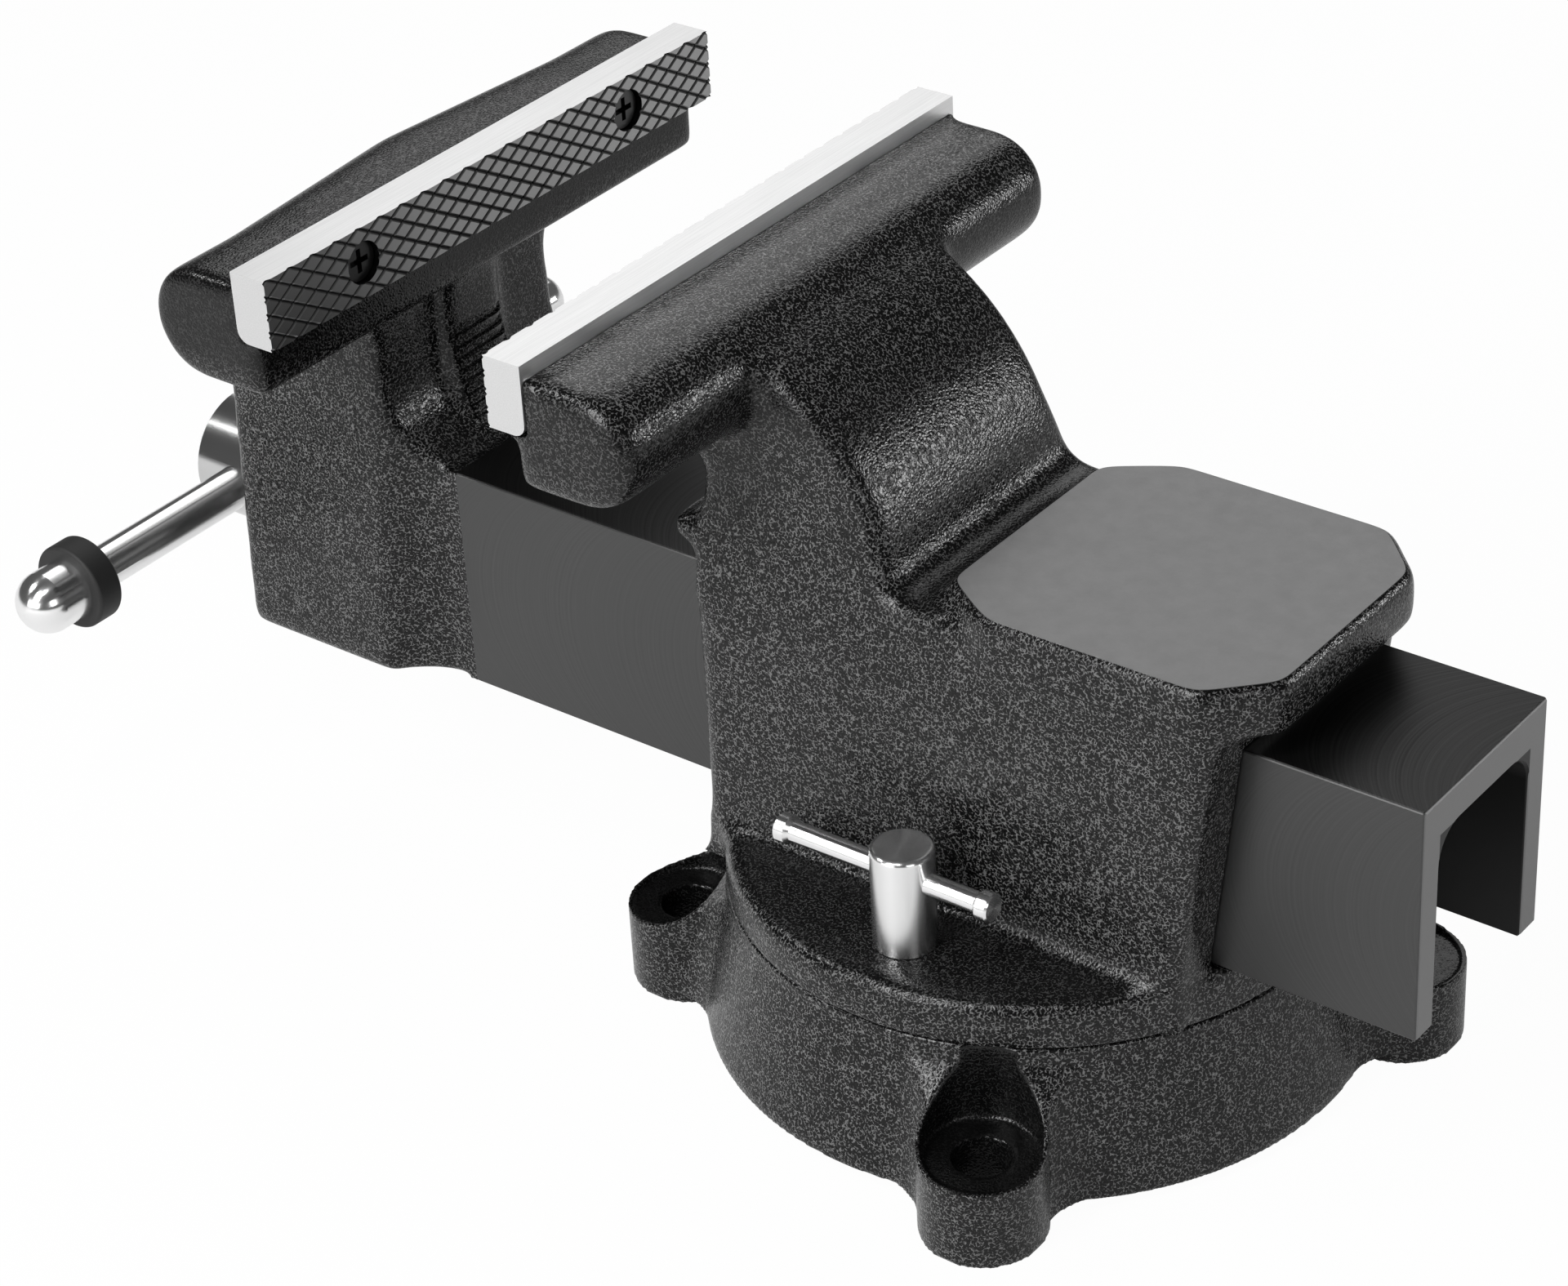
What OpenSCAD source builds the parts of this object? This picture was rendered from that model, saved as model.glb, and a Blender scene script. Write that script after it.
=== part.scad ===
// Swivel bench vise with a U-shaped slide, an anvil and a turning base.
// Frame: origin on the swivel axis at the bench top, +X along the screw from the handle
// to the anvil, +Y to the far side, +Z up. Lengths in millimetres, angles in degrees.

/* [Jaw plates] */
// Width of the jaw plates
plate_w = 200; // [140:1:240]
// Height of the jaw plates
plate_h = 22; // [18:0.5:26]
// Thickness of the jaw plates
plate_t = 13; // [10:0.5:16]
// How far the plates stand above the cast heads
plate_proud = 5; // [2:0.5:8]
// Rounding of a plate's lower back edge
plate_edge_r = 4; // [1:0.5:6]
// Gap between the jaw plates as drawn
opening = 80; // [20:1:150]
// Distance between the two screws of a plate
plate_screw_pitch = 120; // [60:1:125]
// Diameter of the plate screws' shanks
plate_screw_d = 8; // [5:0.5:9]
// Diameter of the plate screws' heads
plate_screw_head_d = 12.4; // [10:0.2:13]
// Height of the plate screws' heads
plate_screw_head_h = 6; // [4:0.5:7]
// Depth of the heads below the plate's face
plate_screw_sunk = 2; // [1:0.5:2.5]
// Length of a plate screw's shank
plate_screw_len = 22; // [16:1:26]
// Width of a plate screw's cross recess
recess_slot_w = 1.8; // [1.2:0.1:2.4]
// Length of that recess's slots
recess_slot_len = 7.4; // [5:0.2:9]
// Depth of that recess
recess_slot_depth = 3; // [1.5:0.5:3.5]

/* [Jaw heads] */
// Depth of a head from the plate's face to its round back
head_depth = 48; // [42:1:60]
// Height of a head
head_h = 35; // [32:0.5:40]
// How far the cast face lies behind the plate's face
head_setback = 7; // [4:0.5:9]
// How far each end of a head stops short of the plate's end
head_inset = 0.5; // [0:0.5:4]
// Rounding of the heads' ends
head_end_r = 1.5; // [1:0.5:8]
// Height of the plates' top above the slide's top
jaw_rise = 93; // [84:1:110]

/* [Slide] */
// Width of the slide
slide_w = 66; // [58:1:76]
// Height of the slide
slide_h = 74; // [68:1:84]
// Thickness of the slide's legs
slide_leg = 9; // [7:0.5:12]
// Thickness of the slide's top web
slide_web = 12; // [9:0.5:15]
// Rounding inside the slide's top corners
slide_inner_r = 10; // [4:0.5:12]
// Length of the slide behind the moving plate's face
slide_len = 332; // [290:1:360]
// Running gap around the slide
slide_gap = 0.3; // [0.2:0.05:0.6]

/* [Moving jaw column] */
// Distance from the moving plate's face to the column's front
column_front = 84; // [78:1:96]
// Distance from the moving plate's face to the column's back
column_back = 19.5; // [17:0.5:22]
// How far the foot of the column's sides stands out from the slide
column_cheek = 12.5; // [10:0.5:14]
// How far each side of the column leans in towards the head
column_lean = 5.3; // [2:0.1:7]
// Thickness of the column's front wall
column_wall = 18; // [14:0.5:24]
// Rounding of the column's upright front edges
column_edge_r = 4; // [2:0.5:8]
// Rounding of the column's lower front edge
column_foot_r = 3; // [2:0.5:8]
// Radius of the column's front shoulder under the head
shoulder_r = 48; // [44:1:52]
// How far the middle of the head bulges to the front
head_bulge = 6.5; // [3:0.5:8]
// Half width of that bulge
bulge_half = 72; // [60:1:80]
// How far the shoulder's centre lies below the head
shoulder_drop = 25; // [22:0.5:28]
// Radius of the hollow between the column and the slide's top
column_hollow_r = 24; // [21:0.5:28]
// Distance from the moving plate's face to the foot of that hollow
column_toe = 2.8; // [1:0.2:5]
// Radius of the blend from the column's sides to the slide
cheek_blend_r = 28; // [20:1:34]
// Rounding under the heads beside the column and the neck
underhead_r = 14; // [6:0.5:18]

/* [Pipe jaws] */
// Half width of the moving pipe jaw
pipe_jaw_half_w = 13; // [10:0.5:18]
// Radius of the moving pipe jaw's hollow face
pipe_jaw_r = 72; // [64:1:84]
// How far that face stands out from the column
pipe_jaw_out = 4; // [3:0.2:5]
// Height of the deepest line of that face above the slide
pipe_jaw_rise = 39.2; // [36:0.2:42]
// Radius of the fixed pipe jaw's hollow
fixed_pipe_r = 20; // [16:0.5:22]
// Radius of the fixed pipe jaw's lip
fixed_lip_r = 4.5; // [3:0.25:6]
// How far that lip stands in front of the body
fixed_lip_out = 9; // [7:0.5:12]

/* [Screw] */
// Height of the screw's axis above the slide's lower edge
screw_rise = 29.2; // [27:0.2:33]
// Diameter of the screw
screw_d = 25; // [20:0.5:28]
// Length of the screw behind the moving plate's face
screw_reach = 302; // [280:1:310]
// Bevel at the screw's end
screw_bevel = 2; // [0.5:0.25:4]
// Diameter of the spindle's head
spindle_head_d = 41.4; // [36:0.2:46]
// Length of the spindle's head
spindle_head_len = 35; // [28:0.5:42]
// Bevel of the spindle head's edges
spindle_head_bevel = 1.5; // [0.5:0.25:3]
// Diameter of the washers and collar on the spindle
collar_d = 38; // [34:0.5:41]
// Thickness of the thrust washer
thrust_t = 8; // [4:0.5:10]
// Thickness of the washer under the spring
spring_washer_t = 3; // [2:0.5:5]
// Length of the collar behind the spring
collar_len = 12; // [9:0.5:16]
// Diameter of the pin through the collar
collar_pin_d = 6; // [4:0.5:7]
// Length of the take-up spring
spring_len = 18; // [15:0.5:24]
// Diameter of the spring's wire
spring_wire_d = 3; // [2:0.25:3.5]
// Turns of the spring
spring_turns = 3; // [2:0.5:3.5]
// Loose fit of rings on the screw
ring_gap = 0.2; // [0.1:0.05:0.4]

/* [Nut] */
// Distance of the nut's middle in front of the swivel axis
nut_back = 30; // [27:1:33]
// Length of the nut
nut_len = 50; // [44:1:56]
// Gap between the nut and the slide's legs
nut_gap = 2; // [1:0.25:4]
// Height of the nut above the screw's axis
nut_top = 24; // [20:0.5:26]
// Distance between the nut's two bolts
nut_bolt_pitch = 24; // [20:1:26]
// Diameter of the nut's bolts
nut_bolt_d = 10; // [8:0.5:11]
// Depth of the bolts in the nut
nut_bolt_depth = 11; // [8:0.5:12]
// Width across the flats of the bolts' heads
nut_bolt_af = 16; // [14:0.5:17]
// Height of the bolts' heads
nut_bolt_head_h = 6.4; // [5:0.2:8]
// Diameter of the bolts' washers
nut_washer_d = 20; // [18:0.5:20]
// Thickness of the bolts' washers
nut_washer_t = 2; // [1:0.25:3]

/* [Handle] */
// Diameter of the handle bar
bar_d = 13.6; // [11:0.2:16]
// Length of the bar between its knobs
bar_len = 216; // [180:1:250]
// How far the bar is slid to the far side as drawn
bar_shift = 13; // [-20:1:20]
// Diameter of the knobs
knob_d = 20; // [18:0.5:24]
// Length of a knob
knob_len = 19; // [16:0.5:24]
// Height of a knob's rounded end
knob_dome_h = 9; // [6:0.5:10]
// Diameter of the stud that holds a knob
knob_stud_d = 8; // [6:0.5:10]
// Length of that stud
knob_stud_len = 10; // [7:0.5:12]
// Diameter of the rubber rings
ring_d = 28; // [24:0.5:32]
// Thickness of the rubber rings
ring_t = 9.5; // [6:0.5:12]
// Rounding of the rubber rings' edges
ring_edge_r = 1.2; // [0.5:0.1:2]

/* [Body] */
// Thickness of the body's side walls
body_wall = 17.7; // [15:0.5:22]
// Distance of the body's front from the swivel axis
body_front = 84; // [80:1:87]
// Distance of the body's back from the swivel axis at the floor
body_rear = 80; // [76:1:86]
// How far the body's back leans out towards the anvil
body_lean = 12; // [6:0.5:16]
// Rounding of the body's upright front edges
body_edge_r = 6; // [2:0.5:9]
// Fillet between the body and the flange
body_foot_r = 3.5; // [1.5:0.5:4]
// Thickness of the deck above the slide
deck_t = 18.7; // [15:0.5:24]
// How far the fixed plate's face lies in front of the body
jaw_overhang = 24; // [22:0.5:28]
// How much narrower each side of the neck is than the body
neck_taper = 7; // [4:0.5:9]
// Radius of the neck's round back
neck_r = 78.5; // [76:0.5:80]
// Depth of that radius's centre below the deck
neck_drop = 10; // [6:0.5:12]
// Height of the bead between the neck and the anvil
bead_r = 2.5; // [1:0.25:4]

/* [Anvil] */
// Distance of the anvil's front edge in front of the swivel axis
anvil_front = 3; // [0:0.5:8]
// Length of the anvil
anvil_len = 106; // [98:1:116]
// Height of the anvil above the deck
anvil_rise = 6.4; // [3:0.2:10]
// Thickness of the anvil block
anvil_t = 17.4; // [14:0.2:22]
// Length of the anvil's front corner bevels along the screw
anvil_front_bevel = 20; // [12:0.5:26]
// Width of the anvil's front corner bevels across the screw
anvil_front_cut = 13; // [6:0.5:18]
// Size of the anvil's rear corner bevels
anvil_rear_bevel = 17; // [10:0.5:24]

/* [Swivel flange and base] */
// Width of the flange outside the lock bolts' axes
flange_rim = 21.5; // [18:0.5:28]
// Thickness of the flange
flange_t = 14; // [12:0.5:18]
// Rounding of the flange's upper edge
flange_edge_r = 2; // [0.5:0.25:4]
// Thickness of the floor between the slide and the underside recess
floor_t = 12; // [10:0.5:14]
// Wall between the lock bolts' holes and the underside recess
recess_wall = 5; // [3:0.5:6]
// Wall of the spigot outside the lock bolts' holes
spigot_wall = 2; // [1.5:0.25:4]
// Height of the base
base_h = 50.2; // [46:0.1:56]
// How far the base's foot flares out past the flange
base_flare = 8.5; // [4:0.5:12]
// Height of the base's rim above the bench between its lugs
rim_lift = 3.5; // [1:0.5:6]
// Height of the straight edges at the base's foot and top
foot_edge = 3; // [1:0.5:6]
// Thickness of the base's upper lip
lip_t = 12; // [9:0.5:15]
// Gap between the flange and the base
swivel_gap = 0.3; // [0.2:0.05:0.5]
// Number of bolt lugs
lug_count = 4; // [3:1:4]
// Angle of the first lug from the screw's direction
lug_angle = 25.5; // [0:0.5:45]
// Distance of the lug bolts outside the base's foot
lug_out = 6.5; // [2:0.5:12]
// Radius of a lug's end
lug_r = 18.5; // [17.5:0.5:22]
// Radius of the blends beside a lug
lug_blend_r = 26; // [20:1:34]
// Diameter of the bench bolt holes
bench_bolt_d = 17; // [12:0.5:19]
// Diameter of the flats round those holes
bench_flat_d = 34; // [28:0.5:34.5]
// Height of those flats above the bench
bench_flat_z = 24.5; // [21:0.5:27]
// Height of a lug's end above its bolt flat
lug_lip = 1; // [0.5:0.5:4]
// Radius of the rise from a lug to the base's wall
lug_rise_r = 40; // [34:1:48]
// How deep those blends run into the lugs and the base
lug_blend_bite = 0.9; // [0.8:0.1:1.2]
// How far the clamp ring reaches under the base's lip
clamp_overlap = 7; // [5:0.5:8]
// Thickness of the clamp ring
clamp_t = 10; // [7:0.5:13]
// Gap between the clamp ring and the base's wall
clamp_gap = 1; // [0.5:0.25:2]

/* [Swivel locks] */
// Distance of the lock bolts from the body's walls
lock_out = 19; // [17:0.5:22]
// Place of the lock bolts along the screw
lock_x = 3; // [-8:0.5:14]
// Diameter of a lock's post
post_d = 18.5; // [16:0.5:20]
// Height of a lock's post
post_h = 32; // [28:0.5:40]
// Rounding of a post's upper edge
post_edge_r = 1.5; // [0.5:0.25:3]
// Diameter of a lock bolt's shank
lock_shank_d = 14; // [12:0.5:15]
// Height of the lock bar above the post's foot
lock_bar_rise = 22.6; // [18:0.2:25]
// Diameter of a lock bar
lock_bar_d = 6.4; // [5:0.2:7]
// Length of a lock bar
lock_bar_len = 73; // [60:1:80]
// Diameter of a lock bar's ends
lock_end_d = 8.8; // [7.6:0.2:10]
// Length of a lock bar's ends
lock_end_len = 5; // [3:0.5:7]
// How far a lock bar is slid along as drawn
lock_bar_shift = -6; // [-10:1:10]

/* [Fits] */
// Radial gap of pins and shafts in their bores
fit_gap = 0.08; // [0.04:0.01:0.1]
// Gap between moving faces
face_gap = 0.3; // [0.2:0.05:0.5]

/* [Hidden] */
$fn = 96;
over = 1;

// Heights, from the bench up
flange_z = base_h + swivel_gap;
flange_top = flange_z + flange_t;
slide_z = flange_top + slide_gap;
slide_top = slide_z + slide_h;
screw_z = slide_z + screw_rise;
deck_z = slide_top + slide_gap + deck_t;
anvil_top = deck_z + anvil_rise;
jaw_top = slide_top + jaw_rise;
head_top = jaw_top - plate_proud;
head_z = head_top - head_h;
plate_z = jaw_top - plate_h;
lip_z = base_h - lip_t;
clamp_z = lip_z - face_gap - clamp_t;
recess_top = flange_top - floor_t;

// Half widths across the screw
slide_half = slide_w / 2;
cavity_half = slide_half - slide_leg;
channel_half = slide_half + slide_gap;
body_half = channel_half + body_wall;
neck_half = body_half - neck_taper;
column_half = slide_half + column_cheek;
head_half = plate_w / 2 - head_inset;
head_round_u = head_depth - head_h / 2;
column_top_half = column_half - column_lean;
lock_y = body_half + lock_out;

// Radii round the swivel axis
flange_r = lock_y + flange_rim;
lock_shank_r = lock_shank_d / 2;
spigot_r = lock_y + lock_shank_r + spigot_wall;
recess_r = lock_y - lock_shank_r - recess_wall;
clamp_r = spigot_r + clamp_overlap;
base_cavity_r = clamp_r + clamp_gap;
foot_r = flange_r + base_flare;
lug_at = foot_r + lug_out;
lug_end = lug_at + lug_r;
blend_turn = acos((pow(foot_r + lug_blend_r, 2) + pow(lug_at, 2) - pow(lug_r + lug_blend_r, 2))
    / (2 * (foot_r + lug_blend_r) * lug_at));

// Places along the screw
fixed_x = -body_front - jaw_overhang;
jaw_x = fixed_x - opening;
column_x = jaw_x - column_front;
thrust_x = column_x - face_gap;
spindle_x = thrust_x - thrust_t;
bar_x = spindle_x - spindle_head_len / 2;
inner_wall_x = column_x + column_wall;
spring_washer_x = inner_wall_x + face_gap;
spring_x = spring_washer_x + spring_washer_t;
collar_x = spring_x + spring_len;
screw_end = jaw_x + screw_reach;
neck_x = fixed_x + plate_t;
neck_z = deck_z - neck_drop;
neck_foot_x = neck_x + sqrt(pow(neck_r, 2) - pow(neck_drop, 2));
anvil_rear = anvil_len - anvil_front;
body_deck_x = body_rear + body_lean;

// Spring
spring_r = (collar_d - spring_wire_d) / 2;
spring_rings = 8;
spring_sides = 6;
spring_last = spring_rings * spring_turns;
spring_rise = spring_len - spring_wire_d - 2 * ring_gap;

// A side outline (x, z) made solid across the screw, centred on the middle plane
module across(width) {
    rotate([90, 0, 0]) linear_extrude(width, center = true) children();
}

// An end outline (y, z) made solid along the screw from one x to another
module along(from, to) {
    translate([from, 0, 0]) rotate([90, 0, 90]) linear_extrude(to - from) children();
}

// A rectangle between two corners
module rect(low, high) {
    translate(low) square(high - low);
}

// A rectangle with four round corners
module round_rect(low, high, r) {
    rect([low.x + r, low.y], [high.x - r, high.y]);
    rect([low.x, low.y + r], [high.x, high.y - r]);
    for (x = [low.x + r, high.x - r], y = [low.y + r, high.y - r])
        translate([x, y]) circle(r = r);
}

// A round bar along the screw's direction, at the screw's height
module rod_x(from, to, r) {
    translate([from, 0, screw_z]) rotate([0, 90, 0]) cylinder(h = to - from, r = r);
}

// A ring on the screw's axis
module ring_x(from, to, outer, inner) {
    difference() {
        rod_x(from, to, outer);
        rod_x(from - over, to + over, inner);
    }
}

// Both jaws share one frame: u runs from the plate's face into the head
module fixed_side() {
    translate([fixed_x, 0, 0]) children();
}

module moving_side() {
    translate([jaw_x, 0, 0]) mirror([1, 0, 0]) children();
}

// Side outline of a cast head with the plate's seat cut in
module head_outline(depth) {
    difference() {
        union() {
            rect([head_setback, head_z], [depth - head_h / 2, head_top]);
            translate([depth - head_h / 2, head_top - head_h / 2]) circle(d = head_h);
        }
        rect([-over, plate_z], [plate_t, jaw_top + over]);
    }
}

// A cast head with rounded ends
module head() {
    intersection() {
        across(2 * head_half) head_outline(head_depth);
        along(-over, head_depth + over)
            round_rect([-head_half, head_z], [head_half, head_top], head_end_r);
        translate([0, 0, head_z - over]) linear_extrude(head_h + 2 * over)
            round_rect([-head_depth, -head_half], [head_depth, head_half], head_end_r);
    }
}

// Round blends under a head on both sides of its support, from one u to another
module underhead_blends(from, to, half) {
    along(from, to)
        for (side = [-1, 1])
            mirror([(1 - side) / 2, 0])
                difference() {
                    rect([half - over, head_z - underhead_r], [half + underhead_r, head_z + over]);
                    translate([half + underhead_r, head_z - underhead_r]) circle(r = underhead_r);
                }
}

// One jaw plate with two counterbored screw holes
module jaw_plate() {
    difference() {
        across(plate_w)
            difference() {
                rect([0, plate_z], [plate_t, jaw_top]);
                difference() {
                    rect([plate_t - plate_edge_r, plate_z - over],
                        [plate_t + over, plate_z + plate_edge_r]);
                    translate([plate_t - plate_edge_r, plate_z + plate_edge_r])
                        circle(r = plate_edge_r);
                }
            }
        plate_screw_places() {
            plate_hole(-over, plate_t + over, plate_screw_d / 2 + fit_gap);
            plate_hole(-over, plate_screw_sunk + plate_screw_head_h, plate_screw_head_d / 2 + ring_gap);
        }
    }
}

module plate_screw_places() {
    for (side = [-1, 1])
        translate([0, side * plate_screw_pitch / 2, plate_z + plate_h / 2]) children();
}

module plate_hole(from, to, r) {
    translate([from, 0, 0]) rotate([0, 90, 0]) cylinder(h = to - from, r = r);
}

// The two screws of a plate, each with a cross recess
module plate_screws() {
    head_end = plate_screw_sunk + plate_screw_head_h;
    plate_screw_places()
        difference() {
            union() {
                plate_hole(plate_screw_sunk, head_end, plate_screw_head_d / 2);
                plate_hole(head_end - over, head_end + plate_screw_len, plate_screw_d / 2);
            }
            for (turn = [0, 90])
                rotate([turn, 0, 0])
                    translate([plate_screw_sunk - over, -recess_slot_len / 2, -recess_slot_w / 2])
                        cube([recess_slot_depth + over, recess_slot_len, recess_slot_w]);
        }
}

// Holes for the plate screws in a head
module head_screw_holes() {
    plate_screw_places()
        plate_hole(plate_t - over, plate_screw_sunk + plate_screw_head_h + plate_screw_len + over,
            plate_screw_d / 2 + fit_gap);
}

// Inside of the slide, open at the bottom
module slide_cavity_outline() {
    top = slide_top - slide_web;
    rect([-cavity_half, slide_z - over], [cavity_half, top - slide_inner_r]);
    rect([-cavity_half + slide_inner_r, slide_z], [cavity_half - slide_inner_r, top]);
    for (side = [-1, 1])
        translate([side * (cavity_half - slide_inner_r), top - slide_inner_r])
            circle(r = slide_inner_r);
}

// Side outline of the moving jaw's column, in u
module column_outline() {
    difference() {
        union() {
            rect([0, slide_z], [column_front, slide_top]);
            rect([column_toe, slide_top - over], [column_front, slide_top + column_hollow_r]);
            rect([column_back, slide_top], [column_front, head_z - shoulder_drop]);
            rect([column_back, slide_top], [head_round_u, head_z + over]);
            intersection() {
                translate([column_front - shoulder_r, head_z - shoulder_drop]) circle(r = shoulder_r);
                rect([column_back, slide_top], [column_front, head_top]);
            }
        }
        translate([column_back - column_hollow_r, slide_top + column_hollow_r])
            circle(r = column_hollow_r);
        difference() {
            rect([column_front - column_foot_r, slide_z - over],
                [column_front + over, slide_z + column_foot_r]);
            translate([column_front - column_foot_r, slide_z + column_foot_r])
                circle(r = column_foot_r);
        }
    }
}

// Half section of the head's bulge, its round back at u = 0
module bulge_section() {
    rect([-head_h, head_z], [-head_h / 2, head_top]);
    translate([-head_h / 2, head_top - head_h / 2]) circle(d = head_h);
}

// Bulge of the moving head: two round bars that slope back to the head's ends
module bulge() {
    for (side = [0, 1])
        mirror([0, side, 0])
            intersection() {
                translate([head_depth + head_bulge, 0, 0])
                    rotate(atan(head_bulge / bulge_half))
                        across(4 * head_half) bulge_section();
                translate([head_depth / 2, 0, head_z])
                    cube([head_depth, (bulge_half + head_half) / 2, head_h]);
            }
}

// Plan of the column, with blends down to the slide's width, in u
module column_plan() {
    blend_u = sqrt(pow(cheek_blend_r, 2) - pow(cheek_blend_r - column_cheek, 2));
    round_rect([blend_u, -column_half], [column_front, column_half], column_edge_r);
    rect([blend_u, -column_half], [column_front - column_edge_r, column_half]);
    difference() {
        rect([0, -column_half], [blend_u + over, column_half]);
        for (side = [-1, 1])
            translate([0, side * (slide_half + cheek_blend_r)]) circle(r = cheek_blend_r);
    }
}

// End outline of the column, with sides that lean in up to the head's blends
module column_wall_outline() {
    lean_top = head_z - underhead_r;
    polygon([
        [-column_half, slide_z - over], [column_half, slide_z - over],
        [column_top_half, lean_top], [column_top_half, head_top],
        [-column_top_half, head_top], [-column_top_half, lean_top]
    ]);
}

// Side outline of the moving pipe jaw, a rib on the column, in u
module pipe_jaw_outline() {
    difference() {
        rect([column_toe, slide_top], [column_back + over, head_z]);
        translate([column_back - pipe_jaw_out - pipe_jaw_r, slide_top + pipe_jaw_rise])
            circle(r = pipe_jaw_r);
    }
}

module moving_jaw() {
    color("#2b2c2e")
        difference() {
            moving_side()
                union() {
                    head();
                    intersection() {
                        across(2 * column_half) column_outline();
                        translate([0, 0, slide_z]) linear_extrude(head_top - slide_z) column_plan();
                        along(-over, column_front + over) column_wall_outline();
                    }
                    bulge();
                    underhead_blends(column_back, head_round_u, column_top_half);
                    across(2 * pipe_jaw_half_w) pipe_jaw_outline();
                    along(-slide_len, column_back)
                        rect([-slide_half, slide_z], [slide_half, slide_top]);
                }
            along(inner_wall_x, jaw_x + slide_len + over) slide_cavity_outline();
            rod_x(column_x - over, inner_wall_x + over, screw_d / 2 + fit_gap);
            moving_side() head_screw_holes();
        }
}

module moving_jaw_plate() {
    color("#c9cacb") moving_side() jaw_plate();
}

module moving_plate_screws() {
    color("#3a3a3a") moving_side() plate_screws();
}

module fixed_jaw_plate() {
    color("#c9cacb") fixed_side() jaw_plate();
}

module fixed_plate_screws() {
    color("#3a3a3a") fixed_side() plate_screws();
}

// Flange, spigot and underside recess of the body, turned round the swivel axis
module turntable() {
    rotate_extrude() {
        rect([0, flange_z], [flange_r, flange_top - flange_edge_r]);
        rect([0, flange_z], [flange_r - flange_edge_r, flange_top]);
        translate([flange_r - flange_edge_r, flange_top - flange_edge_r]) circle(r = flange_edge_r);
        rect([0, lip_z + face_gap], [spigot_r, flange_z + over]);
    }
}

// Side outline of the body's block below the deck
module block_outline() {
    polygon([
        [-body_front, flange_z],
        [body_rear, flange_z],
        [body_rear, flange_top],
        [body_deck_x, deck_z],
        [-body_front, deck_z]
    ]);
}

// Side outline of the neck: round back, hollow and lip of the pipe jaw in front
module neck_outline() {
    pipe_x = fixed_x + head_setback - over;
    pipe_z = head_z - fixed_pipe_r + over;
    lip_x = -body_front - fixed_lip_out + fixed_lip_r;
    lip_at_z = pipe_z - sqrt(pow(fixed_pipe_r, 2) - pow(lip_x - pipe_x, 2));
    difference() {
        intersection() {
            translate([neck_x, neck_z]) circle(r = neck_r);
            rect([fixed_x + head_setback, neck_z], [0, head_top]);
        }
        rect([fixed_x, neck_z - over], [-body_front, pipe_z]);
        rect([fixed_x - over, plate_z], [neck_x, jaw_top]);
        translate([pipe_x, pipe_z]) circle(r = fixed_pipe_r);
    }
    translate([lip_x, lip_at_z]) circle(r = fixed_lip_r);
    rect([lip_x, lip_at_z - fixed_lip_r], [fixed_lip_r - body_front, lip_at_z]);
    translate([neck_foot_x, deck_z]) circle(r = bead_r);
}

// End outline of the body and neck, with walls that lean in above the slide
module wall_outline() {
    lean_top = head_z - underhead_r;
    polygon([
        [-body_half, flange_z], [body_half, flange_z],
        [body_half, slide_top], [neck_half, lean_top],
        [neck_half, head_top], [-neck_half, head_top],
        [-neck_half, lean_top], [-body_half, slide_top]
    ]);
}

// What is cut from the body's upright front edges to round them
module front_edge_cuts() {
    translate([0, 0, flange_top])
        linear_extrude(slide_h)
            for (side = [-1, 1])
                translate([body_edge_r - body_front, side * (body_half - body_edge_r)])
                    mirror([0, (1 - side) / 2])
                        difference() {
                            rect([-body_edge_r - over, 0], [0, body_edge_r + over]);
                            circle(r = body_edge_r);
                        }
}

// Plan of the anvil
module anvil_plan() {
    polygon([
        [-anvil_front, -body_half + anvil_front_cut],
        [anvil_front_bevel - anvil_front, -body_half],
        [anvil_rear - anvil_rear_bevel, -body_half],
        [anvil_rear, -body_half + anvil_rear_bevel],
        [anvil_rear, body_half - anvil_rear_bevel],
        [anvil_rear - anvil_rear_bevel, body_half],
        [anvil_front_bevel - anvil_front, body_half],
        [-anvil_front, body_half - anvil_front_cut]
    ]);
}

// Fillets between the body's side walls and the flange
module foot_fillets() {
    along(-body_front + body_edge_r, body_rear)
        for (side = [-1, 1])
            mirror([(1 - side) / 2, 0])
                difference() {
                    rect([body_half - over, flange_top - over],
                        [body_half + body_foot_r, flange_top + body_foot_r]);
                    translate([body_half + body_foot_r, flange_top + body_foot_r])
                        circle(r = body_foot_r);
                }
}

module vise_body() {
    color("#2b2c2e")
        difference() {
            union() {
                turntable();
                difference() {
                    intersection() {
                        across(2 * body_half + over) {
                            block_outline();
                            neck_outline();
                        }
                        along(fixed_x, body_deck_x + over) wall_outline();
                    }
                    front_edge_cuts();
                }
                intersection() {
                    across(2 * head_half) neck_outline();
                    underhead_blends(fixed_x + head_setback, fixed_x + head_round_u, neck_half);
                }
                fixed_side() head();
                translate([0, 0, anvil_top - anvil_t]) linear_extrude(anvil_t) anvil_plan();
                foot_fillets();
            }
            along(-foot_r - over, foot_r + over)
                rect([-channel_half, flange_top], [channel_half, slide_top + slide_gap]);
            translate([0, 0, lip_z]) cylinder(h = recess_top - lip_z, r = recess_r);
            fixed_side() head_screw_holes();
            lock_places() cylinder(h = flange_top + over, r = lock_shank_r + fit_gap);
            nut_bolt_places() cylinder(h = flange_top + over, d = nut_bolt_d + 2 * ring_gap);
        }
}

// Webs between the base and its lugs, hollowed out by blends that follow the base's flare
module lug_webs() {
    for (i = [0 : lug_count - 1])
        rotate(lug_angle + i * 360 / lug_count)
            difference() {
                translate([0, 0, rim_lift + lug_blend_bite])
                    linear_extrude(base_h - rim_lift)
                        polygon([lug_corner(-1) / 2, lug_corner(-1), [lug_at, 0],
                            lug_corner(1), lug_corner(1) / 2]);
                for (side = [-1, 1])
                    translate(lug_corner(side))
                        cylinder(h = base_h + over, r1 = blend_cut_r(0), r2 = blend_cut_r(base_h + over));
            }
}

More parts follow.
